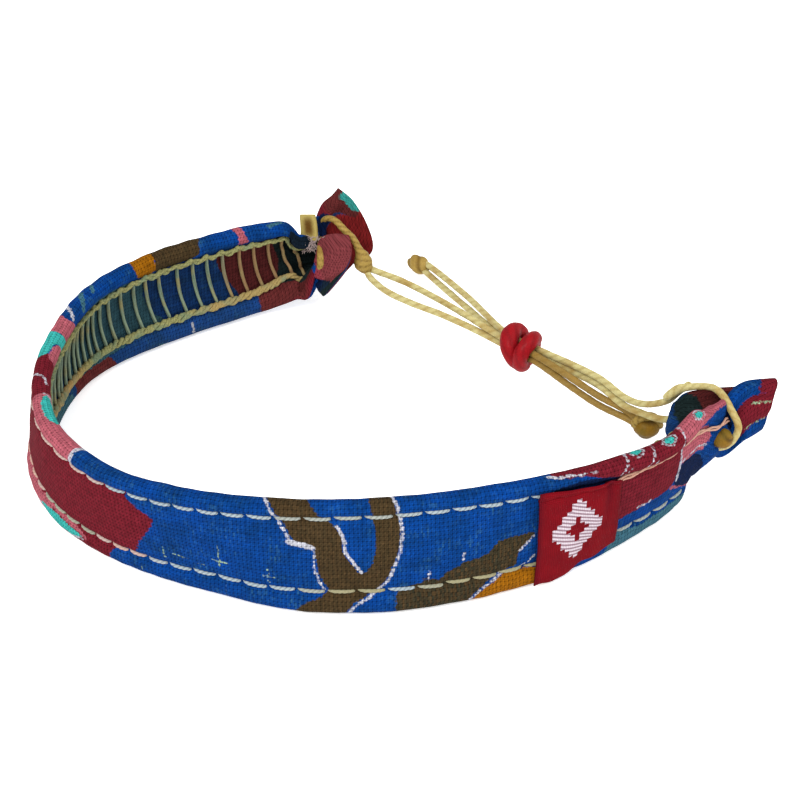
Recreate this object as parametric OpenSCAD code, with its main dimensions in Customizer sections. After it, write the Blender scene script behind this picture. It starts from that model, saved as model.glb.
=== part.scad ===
/* [Band] */
// Width of the folded cloth band
band_w = 13.4; // [11:0.5:15]
// Thickness of the band over its hems
band_t = 2.2; // [1.8:0.1:2.6]
// Length of the upper hem that folds outward beside the label
hem_w = 2.2; // [1.8:0.1:2.6]
// Rings swept between two stations of the band
band_steps = 4; // [3:1:5]

/* [Cords] */
// Diameter of one waxed strand
strand_d = 0.8; // [0.6:0.05:0.85]
// Diameter of the doubled cord tied round each neck
tie_d = 0.9; // [0.7:0.05:1]
// Diameter of the red cord of the sliding knot
slide_d = 1.3; // [1.1:0.05:1.5]
// Turns of the sliding knot round the four strands
slide_turns = 3; // [2:1:3]

/* [Label] */
// Thickness of the folded woven label
label_t = 0.5; // [0.3:0.1:0.8]
// Air between the label and the band
label_gap = 0.12; // [0.1:0.02:0.3]

/* [Hidden] */

// The band runs from the left tail through the left neck, round the wrist, through the right
// neck to the right tail. Each row is one cross section. x, y: middle of the section on the table
// plane; lift: height of its lowest point; width: part of band_w; lean: degrees the top leans
// outward; curl: degrees the section bends round its inner face; thick: part of band_t; flap:
// degrees the upper hem folds outward; lag_high and lag_low: how far the upper and the
// lower corner lag behind the middle; shift: how far the bend sits off the middle
X = 0; Y = 1; LIFT = 2; WIDTH = 3; LEAN = 4; CURL = 5; THICK = 6; FLAP = 7; LAG_HIGH = 8;
LAG_LOW = 9; SHIFT = 10;
STATIONS = [
    // x,    y,    lift, width, lean, curl, thick, flap, lag_high, lag_low, shift
    [ -2.6, 28.0, 2.2, 1.42,  60, 170, 0.55,  0, 5.0, 5.2,  2.0],
    [ -5.9, 27.5, 2.8, 1.15,  58, 215, 0.64,  0, 2.0, 2.6,  1.1],
    [ -9.3, 26.8, 3.3, 0.80,  46, 295, 0.82,  0, 0.0, 0.0,  0.3],
    [-12.1, 25.8, 2.5, 0.84,  18, 180, 0.91,  0, 0.0, 0.0,  0.0],
    [-15.5, 24.3, 0.9, 0.91,  -2,  60, 1.00,  0, 0.0, 0.0,  0.0],
    [-20.2, 21.8, 0.1, 0.98,  -3,  10, 1.00,  0, 0.0, 0.0,  0.0],
    [-28.8, 16.3, 0.0, 1.00,  -4,   6, 1.00,  0, 0.0, 0.0,  0.0],
    [-35.5,  9.7, 0.0, 1.00,  -8,   1, 1.00,  0, 0.0, 0.0,  0.0],
    [-38.6,  1.1, 0.0, 1.00, -10,   1, 1.00,  0, 0.0, 0.0,  0.0],
    [-39.1, -8.3, 0.0, 1.00,  -8,   1, 1.00,  0, 0.0, 0.0,  0.0],
    [-35.9,-17.4, 0.0, 1.00,   1,   1, 1.00,  0, 0.0, 0.0,  0.0],
    [-28.9,-24.4, 0.0, 1.00,   8,   1, 1.00,  0, 0.0, 0.0,  0.0],
    [-19.8,-28.6, 0.0, 1.00,   6,   1, 1.00,  0, 0.0, 0.0,  0.0],
    [-10.1,-30.9, 0.0, 1.00,  -2,   1, 1.00,  0, 0.0, 0.0,  0.0],
    [ -0.4,-30.8, 0.0, 1.00,  -5,   1, 1.00,  0, 0.0, 0.0,  0.0],
    [  9.2,-28.8, 0.0, 1.00,  -2,   1, 1.00,  0, 0.0, 0.0,  0.0],
    [ 18.5,-25.0, 0.0, 1.01,   4,   1, 1.00, 12, 0.0, 0.0,  0.0],
    [ 26.8,-19.2, 0.0, 1.00,   8,  12, 1.00, 40, 0.0, 0.0,  0.0],
    [ 31.3,-14.2, 0.0, 0.99,   9,  25, 0.95, 20, 0.0, 0.0,  0.0],
    [ 32.6,-12.2, 1.3, 0.94,  26, 115, 0.92,  8, 0.0, 0.0, -0.9],
    [ 33.8,-10.7, 3.4, 0.88,  52, 235, 0.91,  0, 0.0, 0.0, -1.3],
    [ 35.2, -9.0, 4.7, 0.80,  70, 295, 0.82,  0, 0.0, 0.0, -0.6],
    [ 37.3, -7.5, 4.7, 1.04,  60, 205, 0.64,  0, 0.0, 1.0,  0.0],
    [ 39.2, -6.3, 4.0, 1.10,  50, 190, 0.55,  0,-1.0, 2.4,  0.0]];

// Cross section of the flat band: two puffed hems, a stitch groove beside each on the outer
// face and the laced channel between them on the inner face
SECTION = [
    // across (part of the width), outer, inner (height, part of the thickness)
    [-0.500, 0.00, 0.00], [-0.488, 0.28, 0.30], [-0.455, 0.47, 0.54], [-0.400, 0.53, 0.70],
    [-0.330, 0.47, 0.64], [-0.290, 0.36, 0.44], [-0.250, 0.42, 0.28], [-0.120, 0.46, 0.20],
    [ 0.050, 0.47, 0.18], [ 0.200, 0.45, 0.20], [ 0.300, 0.42, 0.26], [ 0.345, 0.42, 0.32],
    [ 0.370, 0.34, 0.40], [ 0.410, 0.46, 0.52], [ 0.460, 0.42, 0.46], [ 0.488, 0.26, 0.28],
    [ 0.500, 0.00, 0.00]];

// Where the label sits: first and last place along the stations, lower and upper edge across
LABEL_FROM = 15.5;
LABEL_TO = 16.45;
LABEL_LOW = -5.9;
LABEL_HIGH = 5;
LABEL_RINGS = 10;
LABEL_ROWS = 5;

// Routes of the four strands, end to end
LEFT_UPPER = [
    [-2.7, 25.3, 5.1], [0.9, 23.2, 4.8], [4.7, 19.8, 4.7], [8.5, 15.6, 4.8], [12.1, 11.6, 4.7],
    [16.6, 7.1, 4.7], [19.9, 3.8, 4.3], [23.2, 0.7, 3.7], [26.4, -1.3, 3.2]];
LEFT_LOWER = [
    [-3.1, 24.4, 4.5], [-1.1, 22.0, 4.1], [1.9, 19.4, 4.1], [5.3, 16.9, 4.2], [8.7, 14.3, 4.1],
    [12.1, 11.6, 3.8], [16.6, 7.1, 3.8], [19.7, 3.6, 3.4], [23.0, 0.4, 2.8],
    [26.2, -1.7, 2.3]];
RIGHT_UPPER = [
    [32.5, -5.8, 10.2], [31.2, -6.0, 9.2], [29.9, -5.8, 7.7], [27.8, -3.9, 5.9], [25.8, -1.9, 5.4],
    [23.4, 1.8, 5.3], [20.4, 5.1, 5.0], [16.6, 8.7, 4.7], [12.9, 12.3, 4.7], [8.8, 22.4, 3.1],
    [4.3, 31.3, 1.9]];
RIGHT_LOWER = [
    [32.5, -4.9, 5.1], [31.6, -5.5, 5.2], [30.5, -5.8, 5.2], [29.2, -5.5, 5.1], [27.6, -4.1, 4.8],
    [25.7, -2.1, 4.5], [23.3, 1.7, 4.4], [20.5, 4.9, 4.1], [16.6, 8.7, 3.8], [12.9, 12.3, 3.8],
    [8.3, 22.0, 2.2], [4.1, 30.7, 1.1]];
STRAND_STEPS = 2;

// Ties: the neck that each one holds, and the knots on it. A wrap turns round the neck at
// wrap_r; the knots are swellings of the same cord
LEFT_NECK = [-9.55, 26.25, 6.2];
LEFT_AXIS = [1, 0.15, 0];
RIGHT_NECK = [34.9, -9.1, 7.6];
RIGHT_AXIS = [0.76, 0.65, 0];
WRAP_R = 4;
KNOT_R = 1.05;

// Middle of the sliding knot, the way the strands run through it, and its cord's turns
SLIDE_AT = [14.7, 9.7, 4.3];
SLIDE_AXIS = [0.7071, -0.7071, 0];
SLIDE_PITCH = 1.45;
SLIDE_HOLE = 1.26;

LEFT_KNOT_AT = [2.9, 32.6, 1.4];
RIGHT_KNOT_AT = [28.3, -3.0, 1.9];

UP = [0, 0, 1];
EPS = 0.01;

function unit(v) = v / norm(v);
function flat(v) = [v[0], v[1], 0];

// A smooth curve through the rows of a table, at place s counted in rows
function row(table, i) =
    i < 0 ? 2 * table[0] - table[1]
    : i >= len(table) ? 2 * table[len(table) - 1] - table[len(table) - 2]
    : table[i];
function blend4(a, b, c, d, t) =
    0.5 * (2 * b + (c - a) * t + (2 * a - 5 * b + 4 * c - d) * t * t + (3 * b - a - 3 * c + d) * t * t * t);
function along(table, s) =
    let (i = min(floor(s), len(table) - 2))
    blend4(row(table, i - 1), row(table, i), row(table, i + 1), row(table, i + 2), s - i);
function heading(table, s) = along(table, s + EPS) - along(table, s - EPS);

// One point of the band's section at place s, u across from the middle, n out from the
// middle surface: [up, out] in the section's own plane
function curl_r(q) = band_w * q[WIDTH] * 180 / (PI * max(q[CURL], 1));
function bent(q, u, n) =
    let (r = curl_r(q), turn = (u + q[SHIFT]) / r * 180 / PI, half = max(q[CURL], 1) / 2)
    [(r + n) * sin(turn), (r + n) * cos(turn) - r * sin(half) / (half * PI / 180)];
function folded(q, u, n) =
    let (fold_at = band_w * q[WIDTH] / 2 - hem_w, root = bent(q, fold_at, 0), p = bent(q, u, n),
        fold = max(0, q[FLAP]) * min(1, max(0, (u - fold_at) / 0.8)), d = p - root)
    u <= fold_at ? p : root + [d[0] * cos(fold) - d[1] * sin(fold), d[0] * sin(fold) + d[1] * cos(fold)];
function skin(s, u, n) =
    let (q = along(STATIONS, s), ahead = unit(flat(heading(STATIONS, s))), out = cross(ahead, UP),
        p = folded(q, u, n), lean = q[LEAN], end = s > len(STATIONS) / 2 ? 1 : -1,
        part = abs(2 * u / (band_w * q[WIDTH])),
        lag = u > 0 ? q[LAG_HIGH] * part * part : q[LAG_LOW] * pow(part, 1.2))
    [q[X], q[Y], 0] + UP * (p[0] * cos(lean) - p[1] * sin(lean))
        + out * (p[0] * sin(lean) + p[1] * cos(lean)) - ahead * end * lag;

// The closed ring of points of the section: outer face upward, then inner face downward
function raw_ring(s) =
    let (q = along(STATIONS, s), w = band_w * q[WIDTH], t = band_t * q[THICK], last = len(SECTION) - 1)
    concat([for (c = SECTION) skin(s, c[0] * w, c[1] * t)],
        [for (i = [last - 1:-1:1]) skin(s, SECTION[i][0] * w, -SECTION[i][2] * t)]);
function rise(s) = max(0, along(STATIONS, s)[LIFT]) - min([for (p = raw_ring(s)) p[2]]);
function ring(s) = let (up = rise(s) * UP) [for (p = raw_ring(s)) p + up];

// Faces of a stack of rings with the same number of points
function wall_faces(rings, sides) =
    [for (i = [0:rings - 2], j = [0:sides - 1])
        let (a = i * sides + j, b = i * sides + (j + 1) % sides)
        each [[a, b, a + sides], [b, b + sides, a + sides]]];
// A cap that ladders between the outer and the inner run of a thin ring
function strip_cap(first, sides, turned) =
    [for (j = [0:sides / 2 - 1])
        let (a = first + j, b = first + j + 1, c = first + (sides - j - 1), d = first + (sides - j) % sides)
        each (j == 0 ? [turned ? [a, c, b] : [a, b, c]]
            : j == sides / 2 - 1 ? [turned ? [a, d, b] : [a, b, d]]
            : turned ? [[a, d, c], [a, c, b]] : [[a, c, d], [a, b, c]])];
function fan_cap(first, sides, turned) =
    [turned ? [for (j = [sides - 1:-1:0]) first + j] : [for (j = [0:sides - 1]) first + j]];

module band() {
    spans = len(STATIONS) - 1;
    rings = spans * band_steps + 1;
    sides = 2 * len(SECTION) - 2;
    points = [for (i = [0:rings - 1]) each ring(i / band_steps)];
    color("royalblue")
        polyhedron(points, concat(wall_faces(rings, sides), strip_cap(0, sides, true),
            strip_cap((rings - 1) * sides, sides, false)));
}

// The label follows the band's outer face at a constant gap
module label() {
    inner = band_t / 2 + label_gap;
    rise_to = function(s, u, n) skin(s, u, n) + UP * rise(s);
    sides = 2 * (LABEL_ROWS + 1);
    points = [for (i = [0:LABEL_RINGS])
        let (s = LABEL_FROM + (LABEL_TO - LABEL_FROM) * i / LABEL_RINGS)
        each concat([for (j = [0:LABEL_ROWS])
                rise_to(s, LABEL_LOW + (LABEL_HIGH - LABEL_LOW) * j / LABEL_ROWS, inner + label_t)],
            [for (j = [LABEL_ROWS:-1:0])
                rise_to(s, LABEL_LOW + (LABEL_HIGH - LABEL_LOW) * j / LABEL_ROWS, inner)])];
    color("crimson")
        polyhedron(points, concat(wall_faces(LABEL_RINGS + 1, sides), fan_cap(0, sides, true),
            fan_cap(LABEL_RINGS * sides, sides, false)), convexity = 4);
}

// A round cord swept along a route of rows [x, y, z, radius]; side is a direction that the
// cord never runs along
module cord(route, steps, side, sides = 8) {
    rings = (len(route) - 1) * steps + 1;
    points = [for (i = [0:rings - 1])
        let (s = i / steps, p = along(route, s), h = heading(route, s), ahead = unit([h[0], h[1], h[2]]),
            a = unit(cross(ahead, side)), b = cross(a, ahead))
        for (j = [0:sides - 1])
            [p[0], p[1], p[2]] + p[3] * (a * cos(j * 360 / sides) + b * sin(j * 360 / sides))];
    polyhedron(points, concat(wall_faces(rings, sides), fan_cap(0, sides, true),
        fan_cap((rings - 1) * sides, sides, false)));
}
function with_radius(route, r) = [for (p = route) [p[0], p[1], p[2], r]];

// A row on a wrap: turned degrees round the neck from its top, away from the camera first,
// r out from the neck's axis and shifted along it
function on_wrap(at, axis, r, turned, shift, size) =
    let (side = unit(cross(UP, axis)), p = at + r * (UP * cos(turned) + side * sin(turned)) + axis * shift)
    [p[0], p[1], p[2], size];

module left_tie() {
    start = [[-11.4, 27.2, 11.5, 0.4], [-11.1, 26.8, 11.1, KNOT_R], [-10.5, 26.7, 10.7, KNOT_R * 0.8]];
    wrap = [for (t = [0:20:340]) on_wrap(LEFT_NECK, LEFT_AXIS, WRAP_R, t + 10, -0.4 + t / 340 * 0.8, tie_d / 2)];
    finish = [[-7.0, 27.3, 10.4, tie_d / 2], [-5.7, 27.1, 9.2, tie_d / 2], [-4.8, 26.5, 7.5, tie_d / 2],
        [-4.3, 26.0, 6.1, KNOT_R], [-4.0, 25.6, 5.0, KNOT_R], [-3.8, 25.3, 4.1, 0.35]];
    color("tan") cord(concat(start, wrap, finish), 1, unit([1, 0.3, 0.2]));
}

module right_tie() {
    wrap = [for (t = [0:20:340])
        let (knot = t > 110 && t < 150)
        on_wrap(RIGHT_NECK, RIGHT_AXIS, WRAP_R + (knot ? KNOT_R : 0), 20 - t,
            (knot ? -1.2 : 0) + 0.2 - t / 340 * 0.4, knot ? KNOT_R : tie_d / 2)];
    color("tan") cord(wrap, 1, unit(RIGHT_AXIS));
}

module left_strand_upper() { color("wheat") cord(with_radius(LEFT_UPPER, strand_d / 2), STRAND_STEPS, UP); }
module left_strand_lower() { color("wheat") cord(with_radius(LEFT_LOWER, strand_d / 2), STRAND_STEPS, UP); }
module right_strand_upper() { color("wheat") cord(with_radius(RIGHT_UPPER, strand_d / 2), STRAND_STEPS, UP); }
module right_strand_lower() { color("wheat") cord(with_radius(RIGHT_LOWER, strand_d / 2), STRAND_STEPS, UP); }

// The sliding knot is a red cord wound in close turns round the strands
module slide_knot() {
    across = cross(SLIDE_AXIS, UP);
    r = SLIDE_HOLE + slide_d / 2;
    route = [for (t = [0:30:360 * slide_turns])
        let (p = SLIDE_AT + r * (UP * cos(t) + across * sin(t))
            + SLIDE_AXIS * (t / 360 - slide_turns / 2) * SLIDE_PITCH)
        [p[0], p[1], p[2], slide_d / 2]];
    color("crimson") cord(route, 1, SLIDE_AXIS);
}

// An overhand knot at a cord's end, drawn up into a round lump; ahead is its long way
module end_knot(at, ahead, long, wide) {
    a = unit(ahead);
    route = [for (t = [-1:0.25:1])
        let (p = at + a * long * sin(t * 80) / sin(80)) [p[0], p[1], p[2], wide * max(0.17, cos(t * 80))]];
    color("goldenrod") cord(route, 1, UP, 10);
}
module left_end_knot() { end_knot(LEFT_KNOT_AT, [-0.75, 0.65, 0.05], 1.6, 1.2); }
module right_end_knot() { end_knot(RIGHT_KNOT_AT, [0.72, -0.66, -0.15], 1.7, 1.75); }

band();
label();
left_tie();
right_tie();
left_strand_upper();
left_strand_lower();
right_strand_upper();
right_strand_lower();
slide_knot();
left_end_knot();
right_end_knot();
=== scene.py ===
# %% [markdown]
# # A cloth bracelet with a sliding knot
# The bracelet is a flat tube of printed cotton. Both of its ends are gathered and tied with waxed
# cord, and the cords run through a red sliding knot that tightens the loop. The solid model gives
# the size and the place of every piece, and this lesson gives each piece its surface.

# %% Frame
import math

import bpy
import numpy as np
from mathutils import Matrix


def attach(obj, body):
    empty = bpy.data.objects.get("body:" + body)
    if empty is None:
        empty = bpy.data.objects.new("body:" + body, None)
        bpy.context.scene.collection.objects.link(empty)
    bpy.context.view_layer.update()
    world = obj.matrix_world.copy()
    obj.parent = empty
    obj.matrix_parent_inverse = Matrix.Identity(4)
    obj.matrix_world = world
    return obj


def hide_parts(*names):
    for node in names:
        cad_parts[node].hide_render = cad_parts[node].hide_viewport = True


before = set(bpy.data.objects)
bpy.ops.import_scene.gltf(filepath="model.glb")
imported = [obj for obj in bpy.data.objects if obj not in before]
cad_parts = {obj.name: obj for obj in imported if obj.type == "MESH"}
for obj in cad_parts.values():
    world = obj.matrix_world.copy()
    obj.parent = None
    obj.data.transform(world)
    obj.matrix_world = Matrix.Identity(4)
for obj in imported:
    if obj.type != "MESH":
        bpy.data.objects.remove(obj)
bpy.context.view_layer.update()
MM = 0.001
UP = np.array([0.0, 0.0, 1.0])

# %% [markdown]
# ## Camera
# A product shot of a bracelet is taken from a little above with a long lens, so the loop is seen
# as an ellipse and near and far sides keep almost the same scale. The camera is set from the
# point that it looks at, its angle above the table and its distance.

# %% Camera
TARGET = np.array([0.5, 5.0, 0.0])
ELEVATION = math.radians(36)
DISTANCE = 234.2
LENS = 90.0
SENSOR = 36.0

camera_data = bpy.data.cameras.new("camera")
camera_data.lens = LENS
camera_data.sensor_width = SENSOR
camera_data.clip_start = 0.01
camera = bpy.data.objects.new("camera", camera_data)
back = np.array([0.0, -math.cos(ELEVATION), math.sin(ELEVATION)])
camera.location = (TARGET + back * DISTANCE) * MM
camera.rotation_euler = (math.pi / 2 - ELEVATION, 0.0, 0.0)
bpy.context.scene.collection.objects.link(camera)
bpy.context.scene.camera = camera
bpy.context.scene.view_settings.view_transform = "Standard"

# %% [markdown]
# ## Helpers for curves and meshes
# Every piece here is swept: a section is carried along a path. A Catmull-Rom curve passes through
# each row of a short table, so the tables hold places that can be read off the real thing.
# The meshes are computed as whole arrays and handed over at once.


# %% Curves and meshes
def rows_at(table, s):
    """A smooth curve through the rows of a table, at places s counted in rows. Each stretch is a
    cubic that leaves and meets its rows with the slope between their neighbours."""
    table = np.asarray(table, float)
    s = np.atleast_1d(s)
    rows = np.vstack([2 * table[0] - table[1], table, 2 * table[-1] - table[-2]])
    i = np.clip(np.floor(s).astype(int), 0, len(table) - 2)
    t = (s - i)[:, None]
    a, b, c, d = rows[i], rows[i + 1], rows[i + 2], rows[i + 3]
    return 0.5 * (2 * b + (c - a) * t + (2 * a - 5 * b + 4 * c - d) * t**2 + (3 * b - a - 3 * c + d) * t**3)


def unit(v):
    """Vectors of length one, along the last axis."""
    return v / np.maximum(np.linalg.norm(v, axis=-1, keepdims=True), 1e-12)


def lengths_along(points):
    """Distance along a line of points, from its first one."""
    steps = np.linalg.norm(np.diff(points, axis=0), axis=1)
    return np.concatenate([[0.0], np.cumsum(steps)])


def even_path(table, spacing):
    """Points a given distance apart on the curve through a table's first three columns."""
    fine = rows_at(table, np.linspace(0, len(table) - 1, 40 * len(table)))
    far = lengths_along(fine[:, :3])
    at = np.linspace(0, far[-1], max(8, int(round(far[-1] / spacing))) + 1)
    return np.stack([np.interp(at, far, column) for column in fine.T], 1)


def tube_faces(rings, sides):
    """Quads between the neighbouring rings of a closed tube."""
    i, j = np.meshgrid(np.arange(rings - 1), np.arange(sides), indexing="ij")
    a, b = i * sides + j, i * sides + (j + 1) % sides
    return np.stack([a, b, b + sides, a + sides], -1).reshape(-1, 4)


def volume_of(points, quads):
    """Signed volume inside closed quads, from the fan of tetrahedra to the origin."""
    a, b, c, d = (points[quads[:, k]] for k in range(4))
    return (np.cross(a, b) * c).sum() / 6 + (np.cross(a, c) * d).sum() / 6


def make_piece(name, points, quads, tris=None, maps=None, values=None):
    """A mesh object from points in mm, quads and triangles, with faces turned outwards. maps holds
    a (quad corners, 2) array for each UV map, values one number a point for each attribute."""
    flip = volume_of(points, quads) < 0
    faces = quads[:, ::-1] if flip else quads
    caps = [] if tris is None else (tris[:, ::-1] if flip else tris).tolist()
    mesh = bpy.data.meshes.new(name)
    mesh.from_pydata((points * MM).tolist(), [], faces.tolist() + caps)
    mesh.shade_smooth()
    for label, corners in (maps or {}).items():
        layer = mesh.uv_layers.new(name=label)
        flat = np.zeros((len(mesh.loops), 2), np.float32)
        flat[: len(faces) * 4] = (corners[:, ::-1] if flip else corners).reshape(-1, 2)
        layer.uv.foreach_set("vector", flat.ravel())
    for label, numbers in (values or {}).items():
        attribute = mesh.attributes.new(label, "FLOAT", "POINT")
        attribute.data.foreach_set("value", np.asarray(numbers, np.float32))
    piece = bpy.data.objects.new(name, mesh)
    bpy.context.scene.collection.objects.link(piece)
    return piece


def cap_fans(rings, sides):
    """Triangles that close a tube: its first and last rings are joined to the two points that
    follow the rings."""
    j = np.arange(sides)
    k = (j + 1) % sides
    last = (rings - 1) * sides
    tip = 0 * j + rings * sides
    return np.vstack([np.stack([k, j, tip], 1), np.stack([last + j, last + k, tip + 1], 1)])


def ring_grid(low, high, rings, sides):
    """Two grids of rings by sides: a value that grows from low to high, and the angle round."""
    angle = np.linspace(0, 2 * math.pi, sides, endpoint=False)
    return np.meshgrid(np.linspace(low, high, rings), angle, indexing="ij")


def frames_along(path, side):
    """Two unit vectors across a path: one square to the path and to side, and one square to the
    path and to the first."""
    ahead = unit(np.gradient(path, axis=0))
    across = unit(np.cross(ahead, side))
    return across, np.cross(across, ahead)


def rounded(near, least):
    """The width of a round end from 0 to 1, near radii from its tip: the square root of
    1 - (1 - near)^2, which is held above least."""
    return np.sqrt(np.clip(1 - (1 - np.clip(near, 0, 1)) ** 2, least, 1))


def wave_noise(x, y, seed, count=9, slow=0.3, fast=1.6):
    """A soft random height from -1 to 1: a few sine waves of mixed direction and length added."""
    draw = np.random.default_rng(seed)
    angle = draw.uniform(0, 6.28, count)
    pace = draw.uniform(slow, fast, count)
    phase = draw.uniform(0, 6.28, count)
    waves = [np.sin(p * (x * math.cos(a) + y * math.sin(a)) + f) for a, p, f in zip(angle, pace, phase)]
    return sum(waves) / math.sqrt(count) * 0.7


# %% [markdown]
# ## Waxed cord
# A waxed cord is two or three yarns laid round each other, pressed nearly round by the wax. A
# round tube whose radius swells at each yarn, with the swellings turning along the cord, shows
# that lay from any side, and the groove between two yarns is kept as a value with which the shader paints
# shade.


# %% Cords
CORD_STEP = 0.22


def cord_mesh(name, rows, side, sides=20, yarns=3, lay=2.6, relief=0.07):
    """A cord along rows [x, y, z, radius], and its middle line. At angle v and distance a along
    it, the radius is r * (1 + relief * (|cos(yarns / 2 * (v - 2 pi a / lay))| - 0.6)), a little
    uneven, and it rounds off to nothing over the last radius at each end."""
    rows = np.asarray(rows, float)
    path = even_path(rows, CORD_STEP)
    centre, r = path[:, :3], path[:, 3]
    a = lengths_along(centre)
    r = r * (1 + 0.035 * wave_noise(a, 3 * a, len(name) + len(rows), slow=0.4, fast=2.0))
    r = r * rounded(np.minimum(a, a[-1] - a) / r, 0.0004)
    v = np.linspace(0, 2 * math.pi, sides, endpoint=False)[None, :]
    ridge = np.abs(np.cos(yarns / 2 * (v - 2 * math.pi * a[:, None] / lay)))
    reach = r[:, None] * (1 + relief * (ridge - 0.6))
    x, y = frames_along(centre, side)
    outwards = x[:, None] * np.cos(v)[..., None] + y[:, None] * np.sin(v)[..., None]
    rings = centre[:, None] + reach[..., None] * outwards
    points = np.vstack([rings.reshape(-1, 3), centre[0], centre[-1]])
    # Painted shade: 1 - ridge is highest in the grooves between yarns, where the shader darkens the colour.
    values = {
        "painted_shade": np.append((1 - ridge).ravel(), [0.0, 0.0]),
        "along": np.append(np.repeat(a, sides), [a[0], a[-1]])}
    piece = make_piece(
        name, points, tube_faces(len(a), sides), cap_fans(len(a), sides), values=values)
    return piece, centre


# %% Strands
STRAND_R = 0.4
LEFT_UPPER = [
    # x, y, z in mm, as in the next three tables
    [-3.7, 25.5, 5.6], [-2.7, 25.3, 5.1], [0.9, 23.2, 4.8], [4.7, 19.8, 4.7], [8.5, 15.6, 4.8],
    [12.1, 11.6, 4.7], [16.6, 7.1, 4.7], [19.9, 3.8, 4.3], [23.2, 0.7, 3.7], [26.2, -1.3, 3.1],
    [27.4, -2.3, 2.5]]
LEFT_LOWER = [
    [-3.7, 25.3, 5.3], [-3.1, 24.4, 4.5], [-1.1, 22.0, 4.1], [1.9, 19.4, 4.1], [5.3, 16.9, 4.2],
    [8.7, 14.3, 4.1], [12.1, 11.6, 3.8], [16.6, 7.1, 3.8], [19.7, 3.6, 3.4], [23.0, 0.4, 2.8],
    [26.2, -1.7, 2.3], [27.3, -2.5, 2.0]]
RIGHT_UPPER = [
    [32.5, -5.8, 10.2], [31.2, -6.0, 9.2], [29.9, -5.8, 7.7], [27.8, -3.9, 5.9], [25.8, -1.9, 5.4],
    [23.4, 1.8, 5.3], [20.4, 5.1, 5.0], [16.6, 8.7, 4.7], [12.9, 12.3, 4.7], [8.8, 22.4, 3.1],
    [4.3, 31.3, 1.9], [3.5, 32.0, 1.6]]
RIGHT_LOWER = [
    [32.5, -4.9, 5.1], [31.6, -5.5, 5.2], [30.5, -5.8, 5.2], [29.2, -5.5, 5.1], [27.6, -4.1, 4.8],
    [25.7, -2.1, 4.5], [23.3, 1.7, 4.4], [20.5, 4.9, 4.1], [16.6, 8.7, 3.8], [12.9, 12.3, 3.8],
    [8.3, 22.0, 2.2], [4.1, 30.7, 1.1], [3.4, 31.9, 1.3]]
STRANDS = {"left_strand_upper": LEFT_UPPER, "left_strand_lower": LEFT_LOWER,
    "right_strand_upper": RIGHT_UPPER, "right_strand_lower": RIGHT_LOWER}
strands = {}
for name, route in STRANDS.items():
    rows = [[*p, STRAND_R] for p in route]
    strands[name], centre = cord_mesh(name + "_cord", rows, UP, yarns=2, lay=2.8, relief=0.04)
    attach(strands[name], "root")
    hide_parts(name)

# %% [markdown]
# ## The band
# On the real bracelet a strip of printed cotton is folded so that its long edges meet, turned
# in again as two thick hems and sewn down. So the section is thin in the middle and full at the
# hems. The section is a short table, the way it leans, curls and folds along the loop is another,
# and the surface is the one carried along the other. Fine wrinkles are added along the normal.

# %% Band's tables
BAND_W = 13.4
BAND_T = 2.2
HEM_W = 2.2
LIFT, WIDTH, LEAN, CURL, THICK, FLAP, LAG_HIGH, LAG_LOW, SHIFT = range(2, 11)
STATIONS = [
    # x, y, lift, width, lean, curl, thick, flap, lag_high, lag_low, shift
    [-2.6, 28.0, 2.2, 1.42, 60, 170, 0.55, 0, 5.0, 5.2, 2.0],
    [-5.9, 27.5, 2.8, 1.15, 58, 215, 0.64, 0, 2.0, 2.6, 1.1],
    [-9.3, 26.8, 3.6, 0.74, 46, 295, 0.50, 0, 0, 0, 0.3],
    [-12.1, 25.8, 2.8, 0.82, 18, 180, 0.74, 0, 0, 0, 0],
    [-15.5, 24.3, 0.6, 0.95, -2, 60, 0.96, 0, 0, 0, 0],
    [-20.2, 21.8, 0.1, 0.98, -3, 10, 1, 0, 0, 0, 0],
    [-28.8, 16.3, 0, 1, -4, 6, 1, 0, 0, 0, 0],
    [-35.5, 9.7, 0, 1, -8, 1, 1, 0, 0, 0, 0],
    [-38.6, 1.1, 0, 1, -10, 1, 1, 0, 0, 0, 0],
    [-39.1, -8.3, 0, 1, -8, 1, 1, 0, 0, 0, 0],
    [-35.9, -17.4, 0, 1.01, 1, 1, 1, 0, 0, 0, 0],
    [-28.9, -24.4, 0, 1.02, 8, 1, 1, 0, 0, 0, 0],
    [-19.8, -28.6, 0, 1.02, 6, 1, 1, 0, 0, 0, 0],
    [-10.1, -30.9, 0, 1.02, -2, 1, 1, 0, 0, 0, 0],
    [-0.4, -30.8, 0, 1.02, -5, 1, 1, 0, 0, 0, 0],
    [9.2, -28.8, 0, 1.02, -2, 1, 1, 0, 0, 0, 0],
    [18.5, -25.0, 0, 1.02, 4, 1, 1, 12, 0, 0, 0],
    [26.8, -19.2, 0, 1, 8, 12, 1, 40, 0, 0, 0],
    [31.3, -14.2, 0, 0.99, 9, 25, 0.95, 20, 0, 0, 0],
    [32.6, -12.2, 1.3, 0.94, 26, 115, 0.92, 8, 0, 0, -0.9],
    [33.8, -10.7, 3.4, 0.88, 52, 235, 0.91, 0, 0, 0, -1.3],
    [35.2, -9.0, 4.7, 0.80, 70, 295, 0.82, 0, 0, 0, -0.6],
    [37.3, -7.5, 4.7, 1.04, 60, 205, 0.64, 0, 0, 1.0, 0],
    [39.2, -6.3, 4.0, 1.10, 50, 190, 0.55, 0, -1.0, 2.4, 0]]
SECTION = [
    # across, outer, inner
    [-0.5, 0, 0], [-0.488, 0.28, 0.30], [-0.455, 0.47, 0.54], [-0.40, 0.53, 0.70],
    [-0.33, 0.47, 0.64], [-0.29, 0.36, 0.44], [-0.25, 0.42, 0.28], [-0.12, 0.46, 0.20],
    [0.05, 0.47, 0.18], [0.20, 0.45, 0.20], [0.30, 0.42, 0.26], [0.345, 0.42, 0.32],
    [0.37, 0.34, 0.40], [0.41, 0.46, 0.52], [0.46, 0.42, 0.46], [0.488, 0.26, 0.28], [0.5, 0, 0]]
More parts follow.
